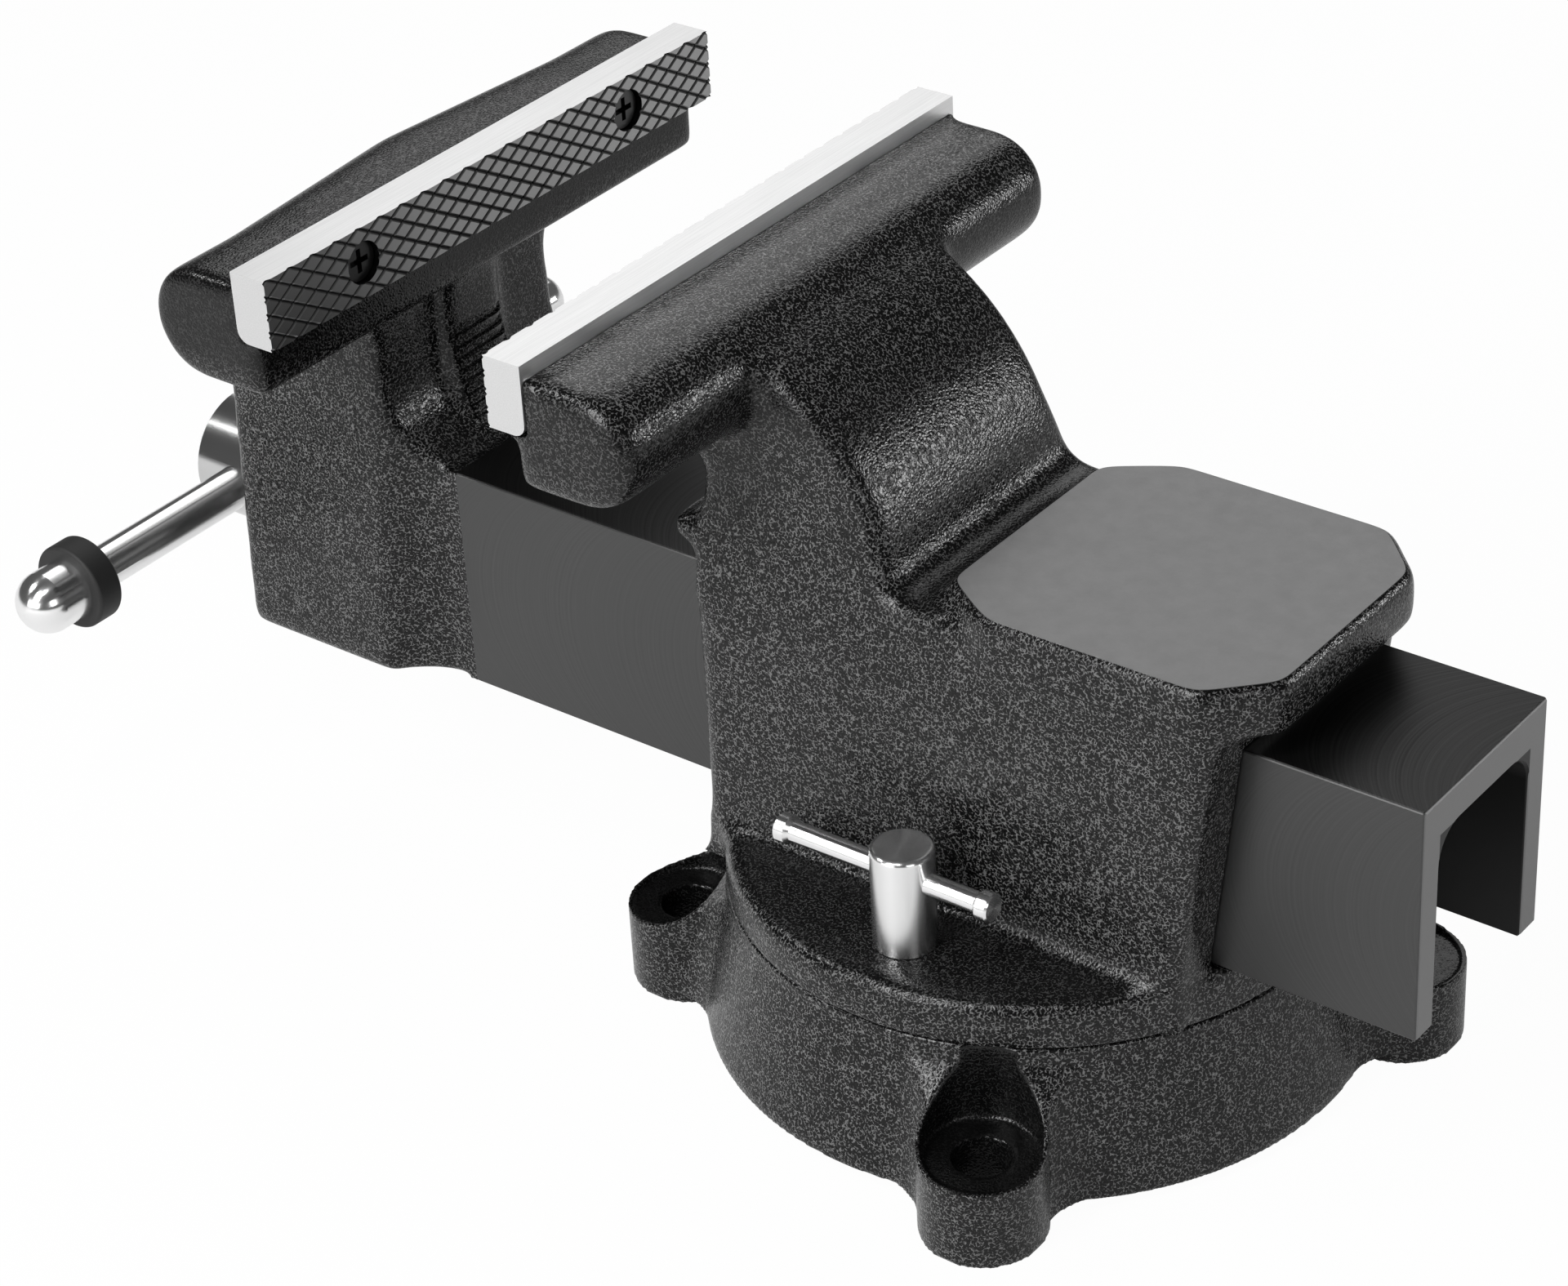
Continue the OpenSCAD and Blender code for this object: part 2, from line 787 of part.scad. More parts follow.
// Radius of the cones that hollow out the blends, at a height
function blend_cut_r(z) = lug_blend_r + lug_blend_bite
    + base_flare * (z - rim_lift - foot_edge) / (base_h - rim_lift - 2 * foot_edge);

// Centre of the blend on one side of a lug
function lug_corner(side) = (foot_r + lug_blend_r) * [cos(blend_turn), side * sin(blend_turn)];

// Half section of the base's drum
module drum_section() {
    polygon([[0, rim_lift], [foot_r, rim_lift], [foot_r, rim_lift + foot_edge],
        [flange_r, base_h - foot_edge], [flange_r, base_h], [0, base_h]]);
}

// Half section that limits the lugs' height, rising in a hollow curve to the drum
module lug_section() {
    low = bench_flat_z + lug_lip;
    rise_half = sqrt(pow(lug_rise_r, 2) - pow(low + lug_rise_r - base_h + foot_edge, 2));
    rise_x = flange_r - over + rise_half;
    difference() {
        rect([0, 0], [lug_end + over, base_h - foot_edge]);
        translate([rise_x, low + lug_rise_r]) circle(r = lug_rise_r);
        rect([rise_x, low], [lug_end + 2 * over, base_h + over]);
    }
}

module bench_bolt_places() {
    for (i = [0 : lug_count - 1])
        rotate(lug_angle + i * 360 / lug_count) translate([lug_at, 0, 0]) children();
}

module swivel_base() {
    color("#2b2c2e")
        difference() {
            union() {
                rotate_extrude() drum_section();
                intersection() {
                    union() {
                        bench_bolt_places() cylinder(h = base_h, r = lug_r);
                        lug_webs();
                    }
                    rotate_extrude() lug_section();
                }
            }
            translate([0, 0, -over]) cylinder(h = lip_z + over, r = base_cavity_r);
            translate([0, 0, -over]) cylinder(h = base_h + 2 * over, r = spigot_r + fit_gap);
            bench_bolt_places() {
                translate([0, 0, -over]) cylinder(h = base_h, d = bench_bolt_d);
                translate([0, 0, bench_flat_z]) cylinder(h = base_h, d = bench_flat_d);
            }
        }
}

module lock_places() {
    for (side = [-1, 1])
        translate([lock_x, side * lock_y, 0]) children();
}

module clamp_ring() {
    color("#55575a")
        difference() {
            translate([0, 0, clamp_z]) cylinder(h = clamp_t, r = clamp_r);
            translate([0, 0, clamp_z - over]) cylinder(h = clamp_t + 2 * over, r = recess_r);
            lock_places() cylinder(h = base_h, r = lock_shank_r + fit_gap);
        }
}

// One lock bolt on its own axis, from the clamp ring up to the post's top
module lock_bolt() {
    foot = flange_top + face_gap;
    top = foot + post_h;
    post_r = post_d / 2;
    difference() {
        rotate_extrude() {
            rect([0, foot], [post_r, top - post_edge_r]);
            rect([0, foot], [post_r - post_edge_r, top]);
            translate([post_r - post_edge_r, top - post_edge_r]) circle(r = post_edge_r);
            rect([0, clamp_z], [lock_shank_r, foot + over]);
        }
        translate([0, 0, foot + lock_bar_rise]) rotate([0, 90, 0])
            cylinder(h = post_d + 2 * over, d = lock_bar_d + 2 * fit_gap, center = true);
    }
}

// Half section of a lock bar along its axis, with flared ends
module lock_bar_section() {
    flare = (lock_end_d - lock_bar_d) / 2;
    half = lock_bar_len / 2;
    end = [
        [lock_bar_d / 2, half - lock_end_len],
        [lock_end_d / 2, half - lock_end_len + flare],
        [lock_end_d / 2, half - flare / 2],
        [lock_end_d / 2 - flare / 2, half]
    ];
    low_end = [for (i = [3 : -1 : 0]) [end[i].x, -end[i].y]];
    polygon(concat([[0, -half]], low_end, end, [[0, half]]));
}

module lock_bar() {
    translate([lock_bar_shift, 0, flange_top + face_gap + lock_bar_rise]) rotate([0, 90, 0])
        rotate_extrude() lock_bar_section();
}

module lock_bolt_near() {
    color("#d8d9da") translate([lock_x, -lock_y, 0]) lock_bolt();
}

module lock_bolt_far() {
    color("#d8d9da") translate([lock_x, lock_y, 0]) lock_bolt();
}

module lock_bar_near() {
    color("#d8d9da") translate([lock_x, -lock_y, 0]) lock_bar();
}

module lock_bar_far() {
    color("#d8d9da") translate([lock_x, lock_y, 0]) lock_bar();
}

// Spindle: cross-bored head, shank and screw in one piece
module spindle() {
    r = screw_d / 2;
    head_r = spindle_head_d / 2;
    color("#cfd0d2")
        difference() {
            translate([0, 0, screw_z]) rotate([0, 90, 0])
                rotate_extrude()
                    polygon([
                        [0, spindle_x - spindle_head_len],
                        [head_r - spindle_head_bevel, spindle_x - spindle_head_len],
                        [head_r, spindle_x - spindle_head_len + spindle_head_bevel],
                        [head_r, spindle_x - spindle_head_bevel],
                        [head_r - spindle_head_bevel, spindle_x],
                        [r, spindle_x],
                        [r, screw_end - screw_bevel],
                        [r - screw_bevel, screw_end],
                        [0, screw_end]
                    ]);
            translate([bar_x, 0, screw_z]) rotate([90, 0, 0])
                cylinder(h = spindle_head_d + 2 * over, d = bar_d + 2 * fit_gap, center = true);
            collar_pin_hole();
        }
}

module collar_pin_hole() {
    translate([collar_x + collar_len / 2, 0, screw_z])
        cylinder(h = collar_d + 2 * over, d = collar_pin_d + 2 * fit_gap, center = true);
}

module thrust_washer() {
    color("#8b8d90") ring_x(spindle_x, thrust_x, collar_d / 2, screw_d / 2 + ring_gap);
}

module spring_washer() {
    color("#8b8d90") ring_x(spring_washer_x, spring_x, collar_d / 2, screw_d / 2 + ring_gap);
}

module retaining_collar() {
    color("#8b8d90")
        difference() {
            ring_x(collar_x, collar_x + collar_len, collar_d / 2, screw_d / 2 + ring_gap);
            collar_pin_hole();
        }
}

module collar_pin() {
    color("#8b8d90")
        translate([collar_x + collar_len / 2, 0, screw_z])
            cylinder(h = collar_d, d = collar_pin_d, center = true);
}

// Points of one ring of the spring's wire
function spring_ring(i) =
    let (turn = 360 * i / spring_rings)
    let (at_x = spring_x + ring_gap + spring_wire_d / 2 + spring_rise * turn / 360 / spring_turns)
    [for (k = [0 : spring_sides - 1])
        let (a = 360 * k / spring_sides)
        let (out = spring_r + spring_wire_d / 2 * cos(a))
        [at_x + spring_wire_d / 2 * sin(a), out * cos(turn), screw_z + out * sin(turn)]];

// Least gap between the spring's coils: rings about one turn apart, point to point
spring_gap = min([for (i = [0 : spring_last - spring_rings], near = [-1 : 1])
    if (i + spring_rings + near <= spring_last)
        min([for (p = spring_ring(i), q = spring_ring(i + spring_rings + near)) norm(p - q)])]);
echo(spring_gap = spring_gap);

module take_up_spring() {
    n = spring_sides;
    points = [for (i = [0 : spring_last]) each spring_ring(i)];
    walls = [for (i = [0 : spring_last - 1], k = [0 : n - 1])
        let (a = i * n + k)
        let (b = i * n + (k + 1) % n)
        each [[a, b, b + n], [a, b + n, a + n]]];
    near_end = [for (k = [1 : n - 2]) [0, k + 1, k]];
    first = spring_last * n;
    far_end = [for (k = [1 : n - 2]) [first, first + k, first + k + 1]];
    color("#6c6e71") polyhedron(points, concat(walls, near_end, far_end));
}

module nut_bolt_places() {
    for (side = [-1, 1])
        translate([-nut_back + side * nut_bolt_pitch / 2, 0, 0]) children();
}

module spindle_nut() {
    half = cavity_half - nut_gap;
    top = screw_z + nut_top;
    color("#7a6a4a")
        difference() {
            translate([-nut_back - nut_len / 2, 0, 0])
                along(0, nut_len) {
                    rect([-half, flange_top], [half, screw_z]);
                    intersection() {
                        rect([-half, screw_z - over], [half, top]);
                        translate([0, screw_z]) circle(r = nut_top);
                    }
                }
            rod_x(-nut_back - nut_len, -nut_back + nut_len, screw_d / 2 + fit_gap);
            nut_bolt_places() cylinder(h = flange_top + nut_bolt_depth, d = nut_bolt_d + 2 * fit_gap);
        }
}

module nut_bolts() {
    head_z_low = recess_top - nut_washer_t - nut_bolt_head_h;
    color("#4a4b4d")
        nut_bolt_places() {
            translate([0, 0, head_z_low])
                cylinder(h = nut_bolt_head_h, d = nut_bolt_af / cos(30), $fn = 6);
            translate([0, 0, recess_top - nut_washer_t - over])
                cylinder(h = floor_t + nut_washer_t + nut_bolt_depth, d = nut_bolt_d);
        }
}

module nut_bolt_washers() {
    color("#8b8d90")
        nut_bolt_places()
            translate([0, 0, recess_top - nut_washer_t])
                difference() {
                    cylinder(h = nut_washer_t, d = nut_washer_d);
                    translate([0, 0, -over])
                        cylinder(h = nut_washer_t + 2 * over, d = nut_bolt_d + 2 * ring_gap);
                }
}

// Places a piece of the handle: local z runs along the bar, from its middle
module on_handle() {
    translate([bar_x, bar_shift, screw_z]) rotate([-90, 0, 0]) children();
}

module handle_bar() {
    color("#d8d9da")
        on_handle() {
            cylinder(h = bar_len, d = bar_d, center = true);
            cylinder(h = bar_len + 2 * knob_stud_len, d = knob_stud_d, center = true);
        }
}

// A knob on the +z end of the bar
module knob() {
    r = knob_d / 2;
    dome_r = (pow(r, 2) + pow(knob_dome_h, 2)) / (2 * knob_dome_h);
    straight = knob_len - knob_dome_h;
    translate([0, 0, bar_len / 2])
        rotate_extrude()
            difference() {
                union() {
                    rect([0, 0], [r, straight]);
                    intersection() {
                        translate([0, knob_len - dome_r]) circle(r = dome_r);
                        rect([0, straight - over], [r, knob_len + over]);
                    }
                }
                rect([-over, -over], [knob_stud_d / 2 + fit_gap, knob_stud_len + ring_gap]);
            }
}

// A rubber ring against the knob on the +z end of the bar
module buffer_ring() {
    translate([0, 0, bar_len / 2 - ring_t])
        rotate_extrude()
            round_rect([bar_d / 2 + fit_gap, 0], [ring_d / 2, ring_t], ring_edge_r);
}

module handle_knob_near() {
    color("#d8d9da") on_handle() mirror([0, 0, 1]) knob();
}

module handle_knob_far() {
    color("#d8d9da") on_handle() knob();
}

module handle_ring_near() {
    color("#1c1c1c") on_handle() mirror([0, 0, 1]) buffer_ring();
}

module handle_ring_far() {
    color("#1c1c1c") on_handle() buffer_ring();
}

swivel_base();
vise_body();
moving_jaw();
fixed_jaw_plate();
moving_jaw_plate();
fixed_plate_screws();
moving_plate_screws();
spindle();
thrust_washer();
spring_washer();
take_up_spring();
retaining_collar();
collar_pin();
spindle_nut();
nut_bolts();
nut_bolt_washers();
handle_bar();
handle_knob_near();
handle_knob_far();
handle_ring_near();
handle_ring_far();
lock_bolt_near();
lock_bolt_far();
lock_bar_near();
lock_bar_far();
clamp_ring();
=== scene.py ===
import math

import bmesh
import bpy
import numpy as np
from mathutils import Matrix, Vector

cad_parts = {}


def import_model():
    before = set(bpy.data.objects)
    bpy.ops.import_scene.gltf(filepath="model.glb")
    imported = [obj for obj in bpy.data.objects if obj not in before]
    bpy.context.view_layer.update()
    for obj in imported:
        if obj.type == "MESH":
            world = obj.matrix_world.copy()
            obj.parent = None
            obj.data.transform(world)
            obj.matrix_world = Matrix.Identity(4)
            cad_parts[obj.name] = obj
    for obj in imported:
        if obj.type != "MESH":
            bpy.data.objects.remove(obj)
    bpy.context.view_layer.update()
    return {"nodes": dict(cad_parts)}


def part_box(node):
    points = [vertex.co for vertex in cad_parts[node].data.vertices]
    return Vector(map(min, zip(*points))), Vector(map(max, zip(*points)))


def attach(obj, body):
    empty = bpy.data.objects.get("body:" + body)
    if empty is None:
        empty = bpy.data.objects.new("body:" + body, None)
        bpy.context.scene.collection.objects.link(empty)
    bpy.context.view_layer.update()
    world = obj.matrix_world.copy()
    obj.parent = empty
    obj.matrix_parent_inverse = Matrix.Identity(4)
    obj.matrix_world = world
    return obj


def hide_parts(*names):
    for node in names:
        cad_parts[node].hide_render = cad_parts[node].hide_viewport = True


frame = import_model()
nodes = frame["nodes"]
scene = bpy.context.scene


def middle(name, axis):
    """The middle of a node's box along an axis."""
    low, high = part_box(name)
    return 0.5 * (low[axis] + high[axis])


# Places that the frame gives, in metres
fixed_low, fixed_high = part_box("fixed_jaw_plate")
moving_low, moving_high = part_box("moving_jaw_plate")
jaw_low, jaw_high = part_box("moving_jaw")
FIXED_FACE = fixed_low[0]                            # the fixed plate's gripping face
FIXED_BACK = fixed_high[0]                           # and its back
MOVING_FACE = moving_high[0]                         # the moving plate's gripping face
MOVING_BACK = moving_low[0]                          # and its back
GAP_MID = 0.5 * (FIXED_FACE + MOVING_FACE)           # middle of the gap between the plates
GAP_HALF = 0.5 * (FIXED_FACE - MOVING_FACE)          # half of that gap
PLATE_LOW = fixed_low[2]                             # underside of the plates
PLATE_SCREW_Z = middle("fixed_jaw_plate", 2)         # height of the plates' screws
HEAD_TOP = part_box("vise_body")[1][2]                 # top of the heads
SLIDE_LOW = jaw_low[2]                               # underside of the slide
SLIDE_END = jaw_high[0]                              # rear end of the slide
SPINDLE_Z = middle("thrust_washer", 2)               # height of the spindle's axis
LOCKS = [(middle(name, 0), middle(name, 1)) for name in ("lock_bolt_near", "lock_bolt_far")]

# Sizes in metres
MM = 0.001
SLIDE_HALF = 33 * MM                 # half the slide's width
SLIDE_TOP = 138.8 * MM               # top of the slide
SLIDE_PLAY = 0.3 * MM                # play between the slide and its channel
SLIDE_CUT = -187 * MM                # where the column's paint ends and the bare slide starts
SLIDE_NEAR = 3 * MM                  # the column stays sharp this near to the slide
SLIDE_SPARE = 8 * MM                 # the column is cast with this much of the slide, then cut
SLIDE_EDGE = 0.6 * MM                # broken edges along the slide
SLIDE_RIM = 0.7 * MM                 # broken edges at its sawn end
LEG = 9 * MM                         # thickness of the slide's legs
WEB = 12 * MM                        # thickness of the slide's web
INNER_R = 10 * MM                    # rounding inside the slide
INNER_STEPS = 8
ANVIL_TOP = 164.2 * MM               # ground top of the anvil
ANVIL_FROM = -10 * MM                # the anvil lies behind this place
ANVIL_ALLOW = 1.2 * MM               # casting allowance that the grinding takes off the anvil
FLANGE_LOW = 50.5 * MM               # underside of the body's flange
LOCK_LAND_R = 11 * MM                # flat land round each lock bolt
LOCK_LAND_TOP = 70 * MM              # the lands lie below this height
LUG_TURN = 25.5                      # degrees from +X to the first lug
LUG_AT = 106.5 * MM                  # the bench bolts' distance from the swivel axis
RECESS_R = 17 * MM                   # radius of the flat round each bench bolt
BASE_BORE_R = 81 * MM                # what lies inside this radius of the base is turned
SPINDLE_BORE_R = 16 * MM             # what lies inside this radius of the column is bored
THREAD_PITCH = 6 * MM
THREAD_DEPTH = 1.6 * MM
THREAD_FROM = -218 * MM              # where the spindle's thread begins

# Jaw plates
PLATE_SCREW_Y = 60 * MM              # the plates' screws lie this far to each side
PIT_R = 6.5 * MM                     # radius of the pits over the screws
PIT_DEPTH = 8.3 * MM
PIT_SIDES = 48
HEEL_R = 4 * MM                      # rounding of the plates' lower back edge
HEEL_STEPS = 6
DIAMOND_WIDE = 9.4 * MM              # one diamond of the gripping face
DIAMOND_TALL = 5.6 * MM
GROOVE_WIDE = 1.3 * MM
GROOVE_DEEP = 0.6 * MM
FACING = 0.3                         # a face that points out at least this much grips
GROOVE_STEP = 1 / math.hypot(1 / DIAMOND_WIDE, 1 / DIAMOND_TALL)   # from groove to groove

# Cover of the casting over each plate screw's hole
COVER_LONG = 13.8 * MM
COVER_WIDE = 14 * MM
COVER_THICK = 2 * MM
COVER_RISE = 0.3 * MM                # its top lies this far above the head
COVER_BEHIND = 7 * MM                # its middle lies this far behind the plate

# Teeth of the moving pipe jaw
HOLLOW_R = 72 * MM                   # radius of the hollow that carries them
HOLLOW_BACK = -203.5 * MM            # its deepest place
HOLLOW_RISE = 39.2 * MM              # its axis lies this far above the slide
HOLLOW_X = HOLLOW_BACK + HOLLOW_R
HOLLOW_Z = SLIDE_TOP + HOLLOW_RISE
HOLLOW_HALF = 12 * MM                # half its width
HOLLOW_NEAR = 0.8 * MM               # a vertex this near to it lies on it
TOOTH_PITCH = 3.7 * MM
TOOTH_DEPTH = 1.2 * MM
TEETH_LOW = SLIDE_TOP + 4 * MM       # the teeth lie between these heights
TEETH_HIGH = HOLLOW_Z - 5 * MM

# Cast skins
VOXEL = 0.75 * MM                    # cell of the skins
SKIN_FACES = 180000                  # triangles of each skin
NEAR_CUT = 1.2 * MM                  # a vertex this near to a machined face lies on it
NEAR_SEAT = 0.5 * MM                 # the same at the plates' seats
EDGE_FROM = 110                      # outward bend per metre at which an edge begins
EDGE_SPAN = 160                      # and how much more makes it a full edge
FAR = 1000                           # beyond the part, in mm
SAME = 2e-6                          # points this near to each other are one
FINE = 1e-7                          # the same for what is cut, and on the plates
GROOVE_FINE = 1e-8                   # and where their grooves cross

# Zones of the castings in mm: along, out from the middle plane, and up
ANVIL_EDGES = {"x": (8, FAR), "z": (142, FAR)}
HEAD_ENDS = {"out": (90, FAR), "z": (188, FAR)}
NECK = {"x": (-98, -2), "out": (0, 70), "z": (150, 206)}
HEAD_ROOT = {"x": (-86, -38), "out": (0, 58), "z": (184, FAR)}
HEAD_SWELL = {"x": (-FAR, -222), "out": (0, 84), "z": (180, FAR)}
HEAD_CORNERS = {"x": (-224, -200), "out": (30, FAR), "z": (166, 188)}
FLANGE_RIM = {"z": (58, 66)}
FLANGE_RIM_R = 82 * MM               # the rim lies beyond this radius

# Paint
HEAD_LIGHTING_FROM = 192 * MM           # the heads' painted shade and sheen fade in between these heights
HEAD_LIGHTING_FULL = 202 * MM
PARTING_Z = 150.6 * MM               # the casting's parting line under the anvil
PARTING_HALF = 0.22 * MM
PARTING_X = 61 * MM                  # its middle
PARTING_REACH = 29 * MM              # and its reach to each side
CREASE_X = 16.5 * MM                 # the crease in front of the anvil
CREASE_HALF = 0.25 * MM
CREASE_Z = 154 * MM                  # its middle
CREASE_REACH = 8 * MM                # and its reach up and down
FACE_SKIN = 0.3 * MM                 # a material takes a face from this far below it
GROUND_SKIN = 0.1 * MM               # the same on the ground anvil

# Camera, fitted to the photograph
CAMERA_AT = (0.5605, -0.8061, 0.7410)
CAMERA_TURN = 0.6796457              # radians round the vertical
CAMERA_DOWN = 0.5582734              # radians below the level
CAMERA_ROLL = -0.0586902
FOCAL_PX = 5006.38                   # focal length in the photograph's pixels
PHOTO_PX = 1920                      # width of the photograph
SENSOR = 36.0

# Stage
CENTRE = Vector((-0.06, 0, 0.11))    # the lamps point here
FLOOR_HALF = 6.0
FLOOR_SEEN = 0.97                    # brightness of the floor to the camera
FLOOR_MIRRORED = 0.25                # and in the metal
WORLD_STRENGTH = 0.09


# Mesh helpers
def joined(node):
    """The node's own mesh with its split corners joined."""
    bm = bmesh.new()
    bm.from_mesh(nodes[node].data)
    bmesh.ops.remove_doubles(bm, verts=bm.verts, dist=SAME)
    return bm


def new_object(name, bm):
    """An object at the origin that holds the mesh."""
    mesh = bpy.data.meshes.new(name)
    bm.to_mesh(mesh)
    bm.free()
    obj = bpy.data.objects.new(name, mesh)
    scene.collection.objects.link(obj)
    return obj


def settle(obj):
    """Turns the object's modifiers into plain mesh."""
    graph = bpy.context.evaluated_depsgraph_get()
    mesh = bpy.data.meshes.new_from_object(obj.evaluated_get(graph))
    old = obj.data
    obj.modifiers.clear()
    obj.vertex_groups.clear()
    obj.data = mesh
    mesh.name = obj.name
    bpy.data.meshes.remove(old)


def points(obj):
    """The object's vertices as an array of rows."""
    flat = np.empty(len(obj.data.vertices) * 3)
    obj.data.vertices.foreach_get("co", flat)
    return flat.reshape(-1, 3)


def zone(obj, x=(-FAR, FAR), out=(0, FAR), z=(-FAR, FAR)):
    """Which vertices lie within the spans, given in mm."""
    along, across, up = points(obj).T / MM
    inside = (along >= x[0]) & (along <= x[1])
    inside &= (abs(across) >= out[0]) & (abs(across) <= out[1])
    return inside & (up >= z[0]) & (up <= z[1])


def soften(obj, mask, steps):
    """Smooths the masked vertices."""
    group = obj.vertex_groups.new(name="soft")
    group.add(np.nonzero(mask)[0].tolist(), 1.0, "REPLACE")
    mod = obj.modifiers.new("soft", "SMOOTH")
    mod.factor = 0.5
    mod.iterations = steps
    mod.vertex_group = "soft"
    settle(obj)


def cast(obj):
    """Gives the object one even skin."""
    mod = obj.modifiers.new("cast", "REMESH")
    mod.mode = "VOXEL"
    mod.voxel_size = VOXEL
    settle(obj)


def thin_out(obj, triangles):
    """Fewer triangles on the flatter places."""
    mod = obj.modifiers.new("thin", "DECIMATE")
    mod.ratio = min(1.0, triangles / (2 * len(obj.data.polygons)))
    settle(obj)


def store(obj, name, values):
    """Stores a value at each vertex for the materials."""
    layer = obj.data.attributes.new(name, "FLOAT", "POINT")
    layer.data.foreach_set("value", values)


def mark_edges(obj):
    """Stores how sharply the skin bends outward at each vertex, from 0 to 1 at an edge."""
    mesh = obj.data
    p = points(obj)
    flat = np.empty(len(p) * 3)
    mesh.vertices.foreach_get("normal", flat)
    normals = flat.reshape(-1, 3)
    ends = np.empty(len(mesh.edges) * 2, int)
    mesh.edges.foreach_get("vertices", ends)
    a, b = ends.reshape(-1, 2).T
    step = p[b] - p[a]
    bend = ((normals[b] - normals[a]) * step).sum(1) / np.maximum((step ** 2).sum(1), 1e-12)
    total = np.bincount(a, bend, len(p)) + np.bincount(b, bend, len(p))
    count = np.bincount(a, minlength=len(p)) + np.bincount(b, minlength=len(p))
    mean = total / np.maximum(count, 1)
    store(obj, "edge", np.clip((mean - EDGE_FROM) / EDGE_SPAN, 0, 1))


def cut(obj, point, normal, region=None):
    """Cuts off what lies beyond the plane, within the region, and closes the cut."""
    bm = bmesh.new()
    bm.from_mesh(obj.data)
    faces = [f for f in bm.faces if region is None or region(f)]
    chosen = set(faces)
    edges = [e for e in bm.edges if not chosen.isdisjoint(e.link_faces)]
    verts = [v for v in bm.verts if not chosen.isdisjoint(v.link_faces)]
    bmesh.ops.bisect_plane(
        bm, geom=verts + edges + faces, plane_co=point, plane_no=normal, dist=FINE, clear_outer=True
    )
    rim = [e for e in bm.edges if e.is_boundary]
    for f in bmesh.ops.holes_fill(bm, edges=rim, sides=0)["faces"]:
        f.smooth = False
    bm.to_mesh(obj.data)
    bm.free()


def shade(obj, sharp=40):
    """Smooth shading with creases where faces meet at more than the angle."""
    obj.data.polygons.foreach_set("use_smooth", [True] * len(obj.data.polygons))
    obj.data.set_sharp_from_angle(angle=math.radians(sharp))


def hand_over(obj, body, material, replaced):
    """Lets the piece stand for a node, move with a body and carry a material."""
    obj.data.materials.clear()
    obj.data.materials.append(material)
    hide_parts(replaced)
    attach(obj, body)


def prism(outline, x_from, x_to):
    """A solid drawn along X from an outline of (y, z) points, anticlockwise seen from +X."""
    bm = bmesh.new()
    ring = [bm.verts.new((x_to, y, z)) for y, z in outline]
    face = bm.faces.new(ring)
    drawn = bmesh.ops.extrude_face_region(bm, geom=[face])
    moved = [g for g in drawn["geom"] if isinstance(g, bmesh.types.BMVert)]
    bmesh.ops.translate(bm, verts=moved, vec=(x_from - x_to, 0, 0))
    bmesh.ops.recalc_face_normals(bm, faces=bm.faces)
    return bm


# Node helpers
def new_material(name):
    """A material, its node tree and its shader."""
    mat = bpy.data.materials.new(name)
    mat.use_nodes = True
    return mat, mat.node_tree, mat.node_tree.nodes["Principled BSDF"]


def show(nt, shader):
    """Makes the shader the material's surface."""
    nt.links.new(shader.outputs[0], nt.nodes["Material Output"].inputs["Surface"])


def feed(nt, socket, value):
    """Sets a socket to a number or colour, or links it."""
    if isinstance(value, (int, float, tuple)):
        socket.default_value = value
    else:
        nt.links.new(value, socket)


def work_out(nt, operation, *values):
    """A Math node's result."""
    n = nt.nodes.new("ShaderNodeMath")
    n.operation = operation
    for socket, value in zip(n.inputs, values):
        feed(nt, socket, value)
    return n.outputs[0]


def times(nt, a, b):
    """The product of two values."""
    return work_out(nt, "MULTIPLY", a, b)


def minus(nt, a, b):
    """The first value less the second."""
    return work_out(nt, "SUBTRACT", a, b)


def beyond(nt, value, limit):
    """1 where the value is greater than the limit."""
    return work_out(nt, "GREATER_THAN", value, limit)


def short_of(nt, value, limit):
    """1 where the value is less than the limit."""
    return work_out(nt, "LESS_THAN", value, limit)


def near(nt, value, mid, reach):
    """1 where the value lies within reach of the middle."""
    return work_out(nt, "COMPARE", value, mid, reach)


def span(nt, value, low, high, to_low=0.0, to_high=1.0):
    """Maps a value from one span to another, clamped."""
    n = nt.nodes.new("ShaderNodeMapRange")
    feed(nt, n.inputs["Value"], value)
    n.inputs["From Min"].default_value = low
    n.inputs["From Max"].default_value = high
    n.inputs["To Min"].default_value = to_low
    n.inputs["To Max"].default_value = to_high
    return n.outputs["Result"]


def mixed(nt, share, a, b):
    """Mixes two colours."""
    n = nt.nodes.new("ShaderNodeMix")
    n.data_type = "RGBA"
    feed(nt, n.inputs["Factor"], share)
    feed(nt, n.inputs[6], a)
    feed(nt, n.inputs[7], b)
    return n.outputs[2]


def grey(v):
    """A grey of the given brightness."""
    return (v, v, v, 1.0)


def noise(nt, vector, scale, detail=2.0, rough=0.5):
    """Noise with so many waves a metre."""
    n = nt.nodes.new("ShaderNodeTexNoise")
    feed(nt, n.inputs["Vector"], vector)
    n.inputs["Scale"].default_value = scale
    n.inputs["Detail"].default_value = detail
    n.inputs["Roughness"].default_value = rough
    return n.outputs["Fac"]


def split(nt, vector):
    """The three parts of a vector."""
    n = nt.nodes.new("ShaderNodeSeparateXYZ")
    feed(nt, n.inputs[0], vector)
    return n.outputs[0], n.outputs[1], n.outputs[2]


def place_on(nt):
    """Object coordinates."""
    return nt.nodes.new("ShaderNodeTexCoord").outputs["Object"]


def bump(nt, height, distance, strength=1.0):
    """A normal that follows the height."""
    n = nt.nodes.new("ShaderNodeBump")
    n.inputs["Distance"].default_value = distance
    feed(nt, n.inputs["Height"], height)
    feed(nt, n.inputs["Strength"], strength)
    return n.outputs["Normal"]


def stored(nt, name):
    """A value stored on the mesh."""
    n = nt.nodes.new("ShaderNodeAttribute")
    n.attribute_name = name
    return n.outputs["Fac"]


